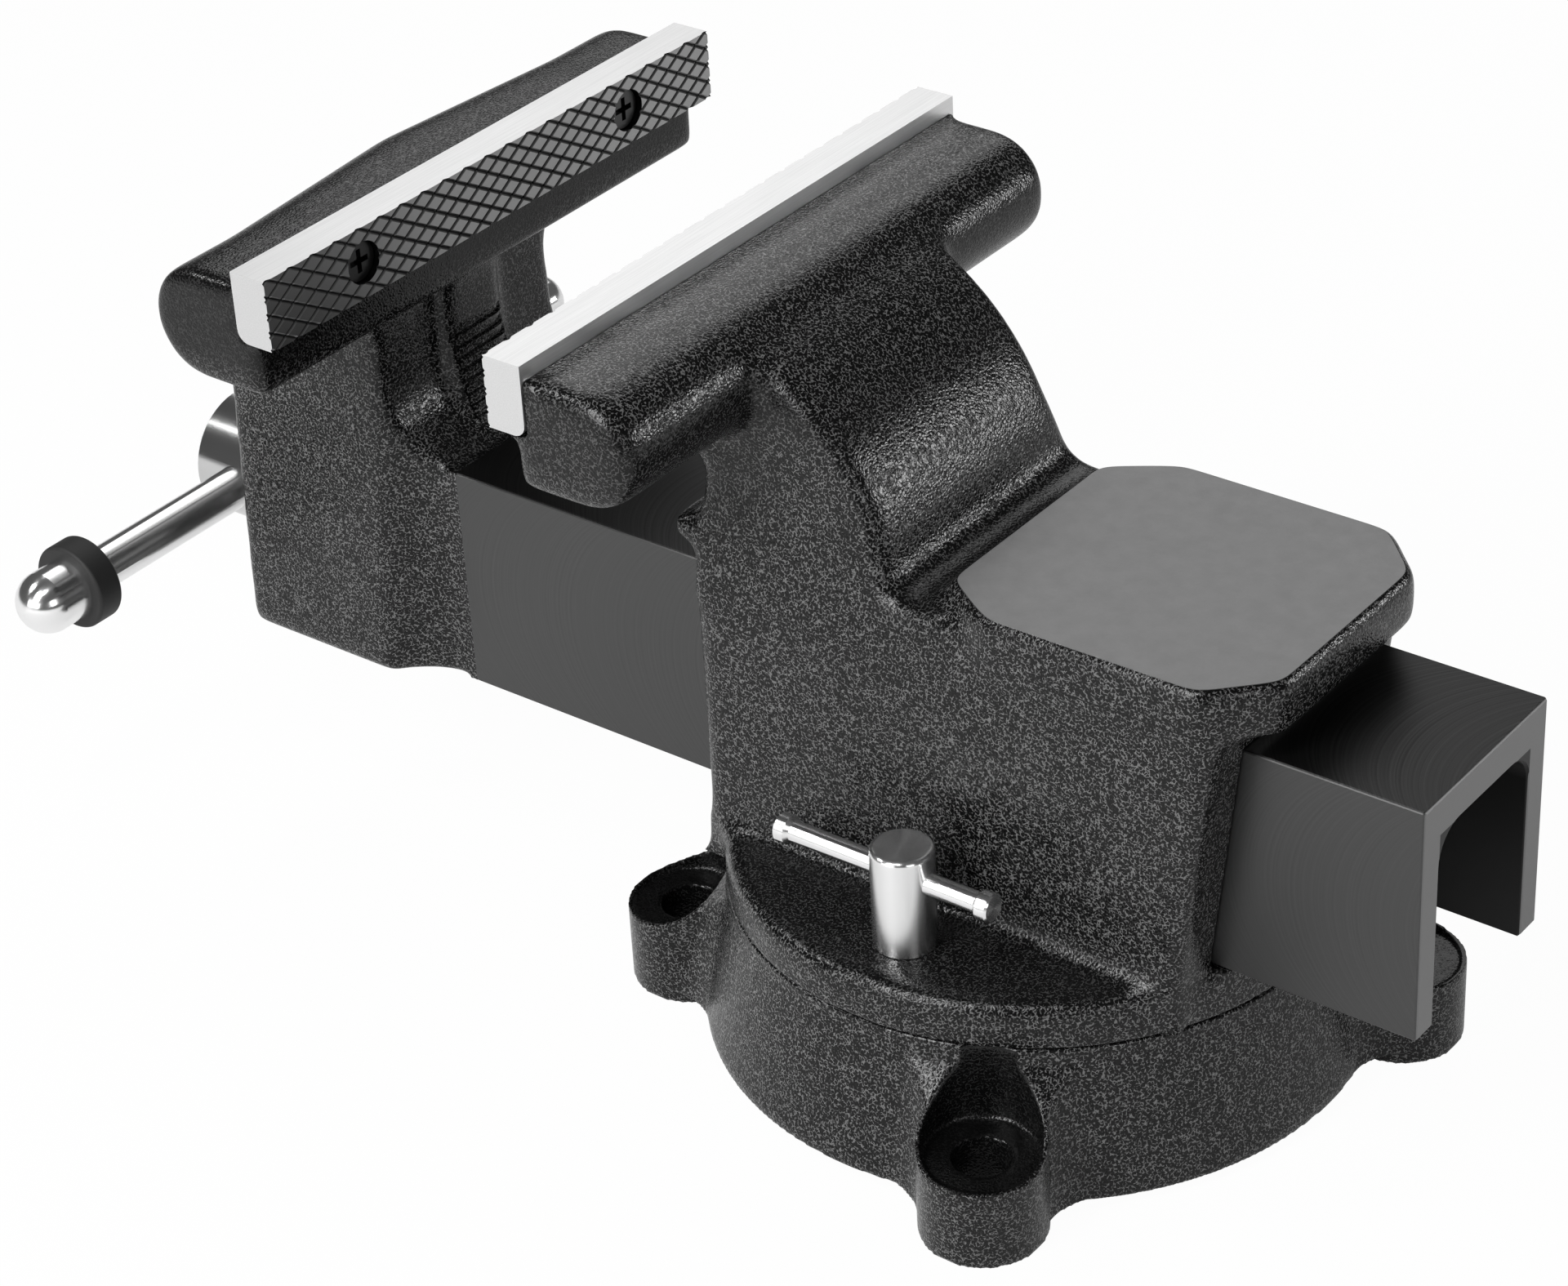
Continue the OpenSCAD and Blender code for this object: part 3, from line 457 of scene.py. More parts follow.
def new_group(name, inputs, outputs):
    """An empty shader node group with named sockets."""
    g = bpy.data.node_groups.new(name, "ShaderNodeTree")
    for label, kind in inputs:
        g.interface.new_socket(label, in_out="INPUT", socket_type=kind)
    for label, kind in outputs:
        g.interface.new_socket(label, in_out="OUTPUT", socket_type=kind)
    return g, g.nodes.new("NodeGroupInput").outputs, g.nodes.new("NodeGroupOutput").inputs


def use_group(nt, group, **values):
    """The outputs of a group that is placed in a material with its own values."""
    n = nt.nodes.new("ShaderNodeGroup")
    n.node_tree = group
    for label, value in values.items():
        feed(nt, n.inputs[label], value)
    return n.outputs


# Shared effects
def enamel_group():
    """Veined enamel: dark pillows with thin, broken, lighter veins between them."""
    warp_waves = 520.0
    warp_reach = 0.9 * MM
    pillow_size = 1.1 * MM
    pillow_full = 0.42
    vein_core = 0.05
    vein_rim = 0.14
    break_waves = 1150.0
    swell_waves = 300.0
    g, given, result = new_group(
        "veined_enamel",
        [("Vector", "NodeSocketVector")],
        [("Height", "NodeSocketFloat"), ("Vein", "NodeSocketFloat")],
    )
    where = given["Vector"]
    warp = g.nodes.new("ShaderNodeTexNoise")
    warp.inputs["Scale"].default_value = warp_waves
    feed(g, warp.inputs["Vector"], where)
    shift = g.nodes.new("ShaderNodeVectorMath")
    shift.operation = "MULTIPLY_ADD"
    feed(g, shift.inputs[0], warp.outputs["Color"])
    shift.inputs[1].default_value = (warp_reach,) * 3
    feed(g, shift.inputs[2], where)
    cells = g.nodes.new("ShaderNodeTexVoronoi")
    cells.feature = "DISTANCE_TO_EDGE"
    cells.inputs["Scale"].default_value = 1 / pillow_size
    feed(g, cells.inputs["Vector"], shift.outputs[0])
    edge = cells.outputs["Distance"]
    breaks = span(g, noise(g, where, break_waves, detail=1.0), 0.44, 0.58)
    feed(g, result["Vein"], times(g, span(g, edge, vein_rim, vein_core), breaks))
    pillow = times(g, span(g, edge, 0.0, pillow_full), 0.6)
    swell = noise(g, where, swell_waves, rough=0.6)
    feed(g, result["Height"], work_out(g, "MULTIPLY_ADD", swell, 0.8, pillow))
    return g


def mill_group():
    """Marks of a face cutter: rows of arcs that step along the first coordinate."""
    cutter_r = 46 * MM
    feed_step = 0.9 * MM
    patch_waves = 45.0
    mark_reach = 0.3125
    g, given, result = new_group(
        "mill_marks",
        [("Along", "NodeSocketFloat"), ("Across", "NodeSocketFloat"), ("Vector", "NodeSocketVector")],
        [("Mark", "NodeSocketFloat")],
    )
    across_squared = work_out(g, "POWER", given["Across"], 2.0)
    drop_squared = work_out(g, "MAXIMUM", minus(g, cutter_r ** 2, across_squared), 0.0)
    arc = work_out(g, "ADD", given["Along"], work_out(g, "SQRT", drop_squared))
    bands = g.nodes.new("ShaderNodeTexNoise")
    bands.noise_dimensions = "1D"
    feed(g, bands.inputs["W"], arc)
    bands.inputs["Scale"].default_value = 1 / feed_step
    bands.inputs["Detail"].default_value = 2.0
    bands.inputs["Roughness"].default_value = 0.55
    uneven = span(g, noise(g, given["Vector"], patch_waves), 0.3, 0.7, 0.4, 1.0)
    mark = times(g, minus(g, bands.outputs["Fac"], 0.5), uneven)
    feed(g, result["Mark"], span(g, mark, -mark_reach, mark_reach))
    return g


ENAMEL = enamel_group()
MILL = mill_group()


# Materials
def metal(bsdf, rough):
    """Makes the shader a metal of the given roughness."""
    bsdf.inputs["Metallic"].default_value = 1.0
    bsdf.inputs["Roughness"].default_value = rough


def lit_vein_share(nt, z, end_shade_veins, top_light_veins):
    """How strongly the veins show, as painted shade and sheen: fewer veins, so darker paint, on faces that
    point up, on the heads' ends and in the bolts' recesses; on the heads the tops keep their own share,
    which paints the fixed head's sheen.
    """
    level_shade_veins = 0.3
    recess_veins = 0.12
    normal = nt.nodes.new("ShaderNodeNewGeometry").outputs["Normal"]
    upward = split(nt, normal)[2]
    # painted shade: fewer veins, so darker paint, on faces that point up
    level = span(nt, upward, 0.7, 0.95, 1.0, level_shade_veins)
    on_head = span(nt, z, HEAD_LIGHTING_FROM, HEAD_LIGHTING_FULL)
    # painted shade on the heads' ends and painted sheen on their tops, set by which way each face points
    head_light_veins = span(nt, upward, 0.3, 0.8, end_shade_veins, top_light_veins)
    share = work_out(nt, "MULTIPLY_ADD", on_head, head_light_veins, minus(nt, 1.0, on_head))
    share = times(nt, share, work_out(nt, "MAXIMUM", level, on_head))
    # painted shade: fewer veins in the bench bolts' recesses
    return times(nt, share, span(nt, stored(nt, "recess"), 0.0, 1.0, 1.0, recess_veins))


def enamelled(nt, bsdf, where, z, end_shade_veins, top_light_veins):
    """Black veined enamel on the shader; gives back its colour."""
    black = grey(0.002)
    worn_black = grey(0.004)
    vein_grey = grey(0.15)
    patch_waves = 28.0
    pillow_height = 0.10 * MM
    edge_calm = 0.25
    coat = use_group(nt, ENAMEL, Vector=where)
    patch = span(nt, noise(nt, where, patch_waves, detail=3.0, rough=0.55), 0.3, 0.7)
    ground = mixed(nt, patch, black, worn_black)
    vein = times(nt, coat["Vein"], lit_vein_share(nt, z, end_shade_veins, top_light_veins))
    bsdf.inputs["Roughness"].default_value = 0.18
    bsdf.inputs["Specular IOR Level"].default_value = 0.28
    calm = span(nt, stored(nt, "edge"), 0.0, 1.0, 1.0, edge_calm)
    feed(nt, bsdf.inputs["Normal"], bump(nt, coat["Height"], pillow_height, calm))
    return mixed(nt, vein, ground, vein_grey)


def paint_material(name, end_shade_veins, top_light_veins):
    """Black veined enamel."""
    mat, nt, bsdf = new_material(name)
    where = place_on(nt)
    tone = enamelled(nt, bsdf, where, split(nt, where)[2], end_shade_veins, top_light_veins)
    feed(nt, bsdf.inputs["Base Color"], tone)
    return mat


def body_material(name, end_shade_veins, top_light_veins):
    """Black veined enamel with painted shade lines along the parting line and in the crease, and bare ground
    iron on the anvil.
    """
    shade_line_black = grey(0.001)
    iron_dark = grey(0.158)
    iron_light = grey(0.180)
    wear_waves = 160.0
    grain_waves = 1500.0
    grain_height = 0.03 * MM
    mat, nt, bsdf = new_material(name)
    where = place_on(nt)
    x, _, z = split(nt, where)
    tone = enamelled(nt, bsdf, where, z, end_shade_veins, top_light_veins)
    # painted shade: near-black lines along the casting's parting line and in the crease in front of the
    # anvil
    parting = times(nt, near(nt, z, PARTING_Z, PARTING_HALF), near(nt, x, PARTING_X, PARTING_REACH))
    crease = times(nt, near(nt, x, CREASE_X, CREASE_HALF), near(nt, z, CREASE_Z, CREASE_REACH))
    line = work_out(nt, "MAXIMUM", parting, crease)
    feed(nt, bsdf.inputs["Base Color"], mixed(nt, line, tone, shade_line_black))
    iron = nt.nodes.new("ShaderNodeBsdfPrincipled")
    metal(iron, rough=0.38)
    wear = span(nt, noise(nt, where, wear_waves, detail=4.0, rough=0.65), 0.3, 0.7)
    feed(nt, iron.inputs["Base Color"], mixed(nt, wear, iron_dark, iron_light))
    feed(nt, iron.inputs["Normal"], bump(nt, noise(nt, where, grain_waves), grain_height))
    both = nt.nodes.new("ShaderNodeMixShader")
    ground = times(nt, beyond(nt, z, ANVIL_TOP - GROUND_SKIN), beyond(nt, x, ANVIL_FROM))
    feed(nt, both.inputs[0], ground)
    feed(nt, both.inputs[1], bsdf.outputs[0])
    feed(nt, both.inputs[2], iron.outputs[0])
    show(nt, both)
    return mat


def slide_material():
    """Milled cast iron with fine arcs on the sides and the top; the top is painted much darker as shade."""
    side_dark = grey(0.082)
    side_light = grey(0.102)
    shaded_top_dark = grey(0.012)
    shaded_top_light = grey(0.042)
    sawn_end = grey(0.19)
    dark_inside = grey(0.02)
    mark_height = 0.006 * MM
    mat, nt, bsdf = new_material("milled_iron")
    where = place_on(nt)
    x, y, z = split(nt, where)
    from_middle = minus(nt, z, 0.5 * (SLIDE_LOW + SLIDE_TOP))
    side_mark = use_group(nt, MILL, Along=x, Across=from_middle, Vector=where)["Mark"]
    top_mark = use_group(nt, MILL, Along=x, Across=y, Vector=where)["Mark"]
    on_top = beyond(nt, z, SLIDE_TOP - FACE_SKIN)
    mark = nt.nodes.new("ShaderNodeMix")
    feed(nt, mark.inputs[0], on_top)
    feed(nt, mark.inputs[2], side_mark)
    feed(nt, mark.inputs[3], top_mark)
    side = mixed(nt, mark.outputs[0], side_dark, side_light)
    # painted shade: the milled top is much darker than the milled sides
    top = mixed(nt, mark.outputs[0], shaded_top_dark, shaded_top_light)
    tone = mixed(nt, on_top, side, top)
    tone = mixed(nt, beyond(nt, x, SLIDE_END - FACE_SKIN), tone, sawn_end)
    # darker inside the U, under the web and between the legs
    under_web = short_of(nt, z, SLIDE_TOP - WEB + FACE_SKIN)
    between_legs = short_of(nt, work_out(nt, "ABSOLUTE", y), SLIDE_HALF - LEG + FACE_SKIN)
    inside = times(nt, under_web, between_legs)
    feed(nt, bsdf.inputs["Base Color"], mixed(nt, inside, tone, dark_inside))
    bsdf.inputs["Metallic"].default_value = 0.9
    bsdf.inputs["Roughness"].default_value = 0.42
    feed(nt, bsdf.inputs["Normal"], bump(nt, mark.outputs[0], mark_height))
    return mat


def plate_material():
    """Ground steel with a greyer serrated face; painted shade darkens its grooves and the screws' pits."""
    steel_dark = grey(0.68)
    steel_light = grey(0.76)
    grip_grey = grey(0.32)
    groove_shade_black = grey(0.01)
    pit_shade_black = grey(0.02)
    pit_edge = 0.05 * MM
    line_waves = (2600.0, 40.0, 2600.0)
    line_height = 0.004 * MM
    mat, nt, bsdf = new_material("ground_plate")
    where = place_on(nt)
    x, y, z = split(nt, where)
    stretch = nt.nodes.new("ShaderNodeMapping")
    stretch.inputs["Scale"].default_value = line_waves
    feed(nt, stretch.inputs["Vector"], where)
    lines = noise(nt, stretch.outputs[0], 1.0)
    steel = mixed(nt, span(nt, lines, 0.3, 0.7), steel_dark, steel_light)
    steel = mixed(nt, stored(nt, "grip"), steel, grip_grey)
    # painted shade: near black in the grooves, by how deep each place lies
    tone = mixed(nt, stored(nt, "deep"), steel, groove_shade_black)
    off_y = minus(nt, work_out(nt, "ABSOLUTE", y), PLATE_SCREW_Y)
    off_z = minus(nt, z, PLATE_SCREW_Z)
    off_squared = work_out(nt, "MULTIPLY_ADD", off_y, off_y, times(nt, off_z, off_z))
    from_gap = work_out(nt, "ABSOLUTE", minus(nt, x, GAP_MID))
    # painted shade: the screws' pits are near black
    pit = short_of(nt, from_gap, GAP_HALF + PIT_DEPTH + pit_edge)
    pit = times(nt, pit, short_of(nt, off_squared, (PIT_R + pit_edge) ** 2))
    feed(nt, bsdf.inputs["Base Color"], mixed(nt, pit, tone, pit_shade_black))
    metal(bsdf, rough=0.36)
    feed(nt, bsdf.inputs["Normal"], bump(nt, lines, line_height))
    return mat


def turned_metal(name, axis, rough):
    """Bright metal turned round an axis, which draws reflections out along that axis."""
    mat, nt, bsdf = new_material(name)
    bsdf.inputs["Base Color"].default_value = grey(0.93)
    metal(bsdf, rough)
    bsdf.inputs["Anisotropic"].default_value = 0.8
    bsdf.inputs["Anisotropic Rotation"].default_value = 0.25
    round_axis = nt.nodes.new("ShaderNodeTangent")
    round_axis.direction_type = "RADIAL"
    round_axis.axis = axis
    feed(nt, bsdf.inputs["Tangent"], round_axis.outputs[0])
    return mat


def plain_metal(name, base, rough, grain=None):
    """Plain metal, with a grain of the given height where there is one."""
    grain_waves = 900.0
    mat, nt, bsdf = new_material(name)
    bsdf.inputs["Base Color"].default_value = grey(base)
    metal(bsdf, rough)
    if grain is not None:
        height = noise(nt, place_on(nt), grain_waves, detail=3.0)
        feed(nt, bsdf.inputs["Normal"], bump(nt, height, grain))
    return mat


def spindle_material():
    """Bright turned head; the shaft carries a thread whose grooves are darker."""
    bright = grey(0.62)
    dark_groove = grey(0.06)
    head_rough = 0.16
    shaft_rougher = 0.2
    mat, nt, bsdf = new_material("spindle_steel")
    x, y, z = split(nt, place_on(nt))
    turn = work_out(nt, "ARCTAN2", y, minus(nt, z, SPINDLE_Z))
    turns_along = times(nt, x, 1 / THREAD_PITCH)
    lead = work_out(nt, "MULTIPLY_ADD", turn, 1 / (2 * math.pi), turns_along)
    crest = span(nt, work_out(nt, "PINGPONG", lead, 0.5), 0.12, 0.38)
    shaft = span(nt, x, THREAD_FROM, THREAD_FROM + 1 * MM)
    groove = times(nt, minus(nt, 1.0, crest), shaft)
    feed(nt, bsdf.inputs["Base Color"], mixed(nt, groove, bright, dark_groove))
    bsdf.inputs["Metallic"].default_value = 1.0
    feed(nt, bsdf.inputs["Roughness"], work_out(nt, "MULTIPLY_ADD", shaft, shaft_rougher, head_rough))
    feed(nt, bsdf.inputs["Normal"], bump(nt, times(nt, crest, shaft), THREAD_DEPTH))
    return mat


def rubber_material():
    """Matt black rubber."""
    mat, _, bsdf = new_material("matt_rubber")
    bsdf.inputs["Base Color"].default_value = grey(0.012)
    bsdf.inputs["Roughness"].default_value = 0.6
    return mat


# the heads' vein shares: fewer veins on the ends as painted shade, and the fixed head's top as painted sheen
PAINT = paint_material("veined_enamel_black", end_shade_veins=0.15, top_light_veins=0.3)
BODY_PAINT = body_material("veined_enamel_black_and_ground_anvil", end_shade_veins=0.45, top_light_veins=1.0)
MILLED = slide_material()
GROUND = plate_material()
CHROME_X = turned_metal("chrome_turned_x", "X", rough=0.24)
CHROME_Y = turned_metal("chrome_turned_y", "Y", rough=0.18)
CHROME_Z = turned_metal("chrome_turned_z", "Z", rough=0.24)
PLAIN = plain_metal("plain_steel_grey", base=0.45, rough=0.35, grain=0.01 * MM)
SCREW = plain_metal("dark_screw_steel", base=0.07, rough=0.38)
IRON = plain_metal("machined_iron", base=0.30, rough=0.45, grain=0.02 * MM)
SPINDLE = spindle_material()
RUBBER = rubber_material()


# Cast pieces
def close_over(bm, x):
    """Thickens the skin over the plate screws' holes, so that the casting stays closed there."""
    size = Matrix.Diagonal((COVER_LONG, COVER_WIDE, COVER_THICK, 1.0))
    z = HEAD_TOP + COVER_RISE - 0.5 * COVER_THICK
    for y in (-PLATE_SCREW_Y, PLATE_SCREW_Y):
        bmesh.ops.create_cube(bm, size=1.0, matrix=Matrix.Translation((x, y, z)) @ size)


def cut_teeth(obj):
    """Cuts rows of teeth into the moving pipe jaw's hollow."""
    p = points(obj)
    from_x = p[:, 0] - HOLLOW_X
    from_z = p[:, 2] - HOLLOW_Z
    away = np.hypot(from_x, from_z)
    row = (np.arctan2(from_z, from_x) * HOLLOW_R / TOOTH_PITCH) % 1.0
    on_hollow = (abs(away - HOLLOW_R) < HOLLOW_NEAR) & (abs(p[:, 1]) < HOLLOW_HALF) & (from_x < 0)
    on_hollow &= (p[:, 2] > TEETH_LOW) & (p[:, 2] < TEETH_HIGH)
    grow = np.where(on_hollow, 1 + TOOTH_DEPTH * row / away, 1.0)
    p[:, 0] = HOLLOW_X + from_x * grow
    p[:, 2] = HOLLOW_Z + from_z * grow
    obj.data.vertices.foreach_set("co", p.ravel())


def machined_on_body(obj):
    """Which vertices of the body's skin lie on machined faces."""
    x, y, z = points(obj).T
    channel_half = SLIDE_HALF + SLIDE_PLAY
    channel_top = SLIDE_TOP + SLIDE_PLAY
    machined = (abs(y) < channel_half + NEAR_CUT) & (z > SLIDE_LOW - NEAR_CUT) & (z < channel_top + NEAR_CUT)
    machined |= (x < FIXED_BACK + NEAR_SEAT) & (z > PLATE_LOW - NEAR_CUT)
    machined |= z < FLANGE_LOW + NEAR_CUT
    for lock_x, lock_y in LOCKS:
        machined |= (np.hypot(x - lock_x, y - lock_y) < LOCK_LAND_R) & (z < LOCK_LAND_TOP)
    return machined


def cast_body():
    """The body: cast with its allowance, rounded in its corners, and ground flat on the anvil."""
    bm = joined("vise_body")
    for v in bm.verts:
        if v.co.z > ANVIL_TOP - SAME and v.co.x > ANVIL_FROM:
            v.co.z += ANVIL_ALLOW
    close_over(bm, FIXED_BACK + COVER_BEHIND)
    obj = new_object("cast_body", bm)
    cast(obj)
    free = ~machined_on_body(obj)
    crisp = zone(obj, **ANVIL_EDGES) | zone(obj, **HEAD_ENDS)
    soften(obj, free, steps=1)
    soften(obj, free & ~crisp, steps=2)
    soften(obj, free & zone(obj, **NECK), steps=45)
    x, y = points(obj).T[:2]
    soften(obj, free & zone(obj, **FLANGE_RIM) & (np.hypot(x, y) > FLANGE_RIM_R), steps=14)
    soften(obj, free & zone(obj, **HEAD_ROOT), steps=200)
    thin_out(obj, SKIN_FACES)
    shade(obj)
    cut(obj, (0, 0, ANVIL_TOP), (0, 0, 1), lambda f: all(v.co.x > ANVIL_FROM for v in f.verts))
    mark_edges(obj)
    hand_over(obj, "body", BODY_PAINT, "vise_body")


def machined_on_jaw(obj):
    """Which vertices of the moving jaw's skin lie on machined faces."""
    x, y, z = points(obj).T
    machined = (x > MOVING_BACK - NEAR_SEAT) & (z > PLATE_LOW - NEAR_CUT)
    machined |= np.hypot(y, z - SPINDLE_Z) < SPINDLE_BORE_R
    return machined | (x > SLIDE_CUT - SLIDE_NEAR)


def cast_jaw():
    """The moving head and column, cut off where the bare slide starts."""
    bm = joined("moving_jaw")
    close_over(bm, MOVING_BACK - COVER_BEHIND)
    obj = new_object("cast_jaw", bm)
    cut(obj, (SLIDE_CUT + SLIDE_SPARE, 0, 0), (1, 0, 0))
    cast(obj)
    free = ~machined_on_jaw(obj)
    soften(obj, free, steps=1)
    soften(obj, free & zone(obj, **HEAD_SWELL), steps=90)
    soften(obj, free & zone(obj, **HEAD_CORNERS), steps=60)
    cut_teeth(obj)
    top = SLIDE_TOP + 2 * VOXEL
    cut(obj, (SLIDE_CUT, 0, 0), (1, 0, 0), lambda f: max(v.co.z for v in f.verts) < top)
    thin_out(obj, SKIN_FACES)
    shade(obj)
    mark_edges(obj)
    hand_over(obj, "jaw", PAINT, "moving_jaw")


def mark_recesses(obj):
    """Stores which vertices lie in the bench bolts' recesses, which the paint darkens as painted shade."""
    x, y = points(obj).T[:2]
    lug = np.arctan2(y, x) - math.radians(LUG_TURN)
    off = (lug + math.pi / 4) % (math.pi / 2) - math.pi / 4
    reach = np.hypot(x, y)
    from_bolt = np.hypot(reach * np.cos(off) - LUG_AT, reach * np.sin(off))
    # marks the recesses for painted shade
    store(obj, "recess", (from_bolt < RECESS_R + FACE_SKIN).astype(float))


def cast_base():
    """The base with its four lugs; its bore is turned."""
    obj = new_object("cast_base", joined("swivel_base"))
    cast(obj)
    x, y = points(obj).T[:2]
    soften(obj, np.hypot(x, y) >= BASE_BORE_R, steps=2)
    thin_out(obj, SKIN_FACES)
    shade(obj)
    mark_edges(obj)
    mark_recesses(obj)
    hand_over(obj, "base", PAINT, "swivel_base")


# Machined pieces
def slide_outline():
    """Section of the slide, open below, with broken outer corners and a rounded inside."""
    inner = SLIDE_HALF - LEG
    arc_y = inner - INNER_R
    arc_z = SLIDE_TOP - WEB - INNER_R
    right = [
        (inner, SLIDE_LOW), (SLIDE_HALF - SLIDE_EDGE, SLIDE_LOW), (SLIDE_HALF, SLIDE_LOW + SLIDE_EDGE),
        (SLIDE_HALF, SLIDE_TOP - SLIDE_EDGE), (SLIDE_HALF - SLIDE_EDGE, SLIDE_TOP),
    ]
    left = [(-y, z) for y, z in reversed(right)]
    arc = []
    for k in range(INNER_STEPS + 1):
        turn = math.pi / 2 * k / INNER_STEPS
        arc.append((-arc_y - INNER_R * math.cos(turn), arc_z + INNER_R * math.sin(turn)))
    inside = arc + [(-y, z) for y, z in reversed(arc)]
    return right + left + inside


def slide():
    """The bare slide behind the column."""
    bm = prism(slide_outline(), SLIDE_CUT, SLIDE_END)
    rim = [e for e in bm.edges if all(abs(v.co.x - SLIDE_END) < SAME for v in e.verts)]
    bmesh.ops.bevel(
        bm, geom=rim, offset=SLIDE_RIM, segments=1, profile=0.5, affect="EDGES", material=-1
    )
    obj = new_object("milled_slide", bm)
    shade(obj, sharp=25)
    hand_over(obj, "jaw", MILLED, "moving_jaw")


def groove_lines(bm, face_x, half_wide, half_tall):
    """Cuts the face along both edges and the bottom of each crossed groove."""
    count = int(half_wide / DIAMOND_WIDE + half_tall / DIAMOND_TALL) + 2
    middle_of_face = Vector((face_x, 0, PLATE_SCREW_Z))
    for lean in (1.0, -1.0):
        direction = Vector((0, 1 / DIAMOND_WIDE, lean / DIAMOND_TALL)).normalized()
        for n in range(-count, count + 1):
            for off in (-0.5 * GROOVE_WIDE, 0.0, 0.5 * GROOVE_WIDE):
                place = middle_of_face + direction * ((n + 0.5) * GROOVE_STEP + off)
                geom = bm.verts[:] + bm.edges[:] + bm.faces[:]
                bmesh.ops.bisect_plane(bm, geom=geom, plane_co=place, plane_no=direction, dist=GROOVE_FINE)


def groove_depth(y, z):
    """How deep a place of the gripping face lies in a groove, from 0 to 1."""
    nearest = 1.0
    for lean in (1.0, -1.0):
        t = y / DIAMOND_WIDE + lean * (z - PLATE_SCREW_Z) / DIAMOND_TALL - 0.5
        nearest = min(nearest, abs(t - round(t)) * GROOVE_STEP / (0.5 * GROOVE_WIDE))
    return 1.0 - nearest


def drawn_rim(bm):
    """Draws the open rim out and gives back its new vertices."""
    rim = [e for e in bm.edges if e.is_boundary]
    drawn = bmesh.ops.extrude_edge_only(bm, edges=rim)["geom"]
    return [g for g in drawn if isinstance(g, bmesh.types.BMVert)]


def drill_pits(obj, face_x):
    """Drills the pits over the screws into the gripping face."""
    for side in (-PLATE_SCREW_Y, PLATE_SCREW_Y):
        place = Matrix.Translation((face_x, side, PLATE_SCREW_Z)) @ Matrix.Rotation(math.pi / 2, 4, "Y")
        tool = bmesh.new()
        bmesh.ops.create_cone(
            tool, cap_ends=True, segments=PIT_SIDES, radius1=PIT_R, radius2=PIT_R,
            depth=2 * PIT_DEPTH, matrix=place,
        )
        drill = new_object("drill", tool)
        mod = obj.modifiers.new("pit", "BOOLEAN")
        mod.operation = "DIFFERENCE"
        mod.solver = "EXACT"
        mod.object = drill
        settle(obj)
        bpy.data.objects.remove(drill)


def serrated(name, source, face_x, back_x, body):
    """A jaw plate with crossed grooves on its gripping face and a rounded heel."""
    low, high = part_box(source)
    out = 1.0 if face_x > back_x else -1.0
    bm = bmesh.new()
    deep = bm.loops.layers.float.new("deep")
    grip = bm.loops.layers.float.new("grip")
    corners = [(low[1], low[2]), (high[1], low[2]), (high[1], high[2]), (low[1], high[2])]
    if out < 0:
        corners.reverse()
    bm.faces.new([bm.verts.new((face_x, y, z)) for y, z in corners])
    groove_lines(bm, face_x, 0.5 * (high[1] - low[1]), 0.5 * (high[2] - low[2]))
    for v in bm.verts:
        sunk = groove_depth(v.co.y, v.co.z)
        v.co.x -= out * GROOVE_DEEP * sunk
        for corner in v.link_loops:
            corner[deep] = sunk
    for v in drawn_rim(bm):
        v.co.x = back_x + out * HEEL_R
    for k in range(1, HEEL_STEPS + 1):
        turn = math.pi / 2 * k / HEEL_STEPS
        for v in drawn_rim(bm):
            v.co.x = back_x + out * HEEL_R * (1 - math.sin(turn))
            v.co.z = max(v.co.z, low[2] + HEEL_R * (1 - math.cos(turn)))
    bmesh.ops.remove_doubles(bm, verts=bm.verts, dist=FINE)
    bmesh.ops.holes_fill(bm, edges=[e for e in bm.edges if e.is_boundary], sides=0)
    bmesh.ops.recalc_face_normals(bm, faces=bm.faces)
    for f in bm.faces:
        on_face = out * f.normal.x > FACING
        for corner in f.loops:
            corner[grip] = float(on_face)
            corner[deep] *= on_face
    obj = new_object(name, bm)
    drill_pits(obj, face_x)
    shade(obj, sharp=15)
    hand_over(obj, body, GROUND, source)


cast_body()
cast_jaw()
cast_base()
slide()
serrated("fixed_plate_serrated", "fixed_jaw_plate", FIXED_FACE, FIXED_BACK, "body")
serrated("moving_plate_serrated", "moving_jaw_plate", MOVING_FACE, MOVING_BACK, "jaw")

for name, material in (
    ("spindle", SPINDLE),
    ("handle_bar", CHROME_Y), ("handle_knob_near", CHROME_Y), ("handle_knob_far", CHROME_Y),
    ("lock_bolt_near", CHROME_Z), ("lock_bolt_far", CHROME_Z),
    ("lock_bar_near", CHROME_X), ("lock_bar_far", CHROME_X),
    ("handle_ring_near", RUBBER), ("handle_ring_far", RUBBER),
    ("fixed_plate_screws", SCREW), ("moving_plate_screws", SCREW),
    ("thrust_washer", PLAIN), ("spring_washer", PLAIN), ("take_up_spring", PLAIN),
    ("retaining_collar", PLAIN), ("collar_pin", PLAIN),
    ("nut_bolts", PLAIN), ("nut_bolt_washers", PLAIN),
    ("spindle_nut", IRON), ("clamp_ring", IRON),
):
    slots = nodes[name].data.materials
    for i in range(len(slots)):
        slots[i] = material


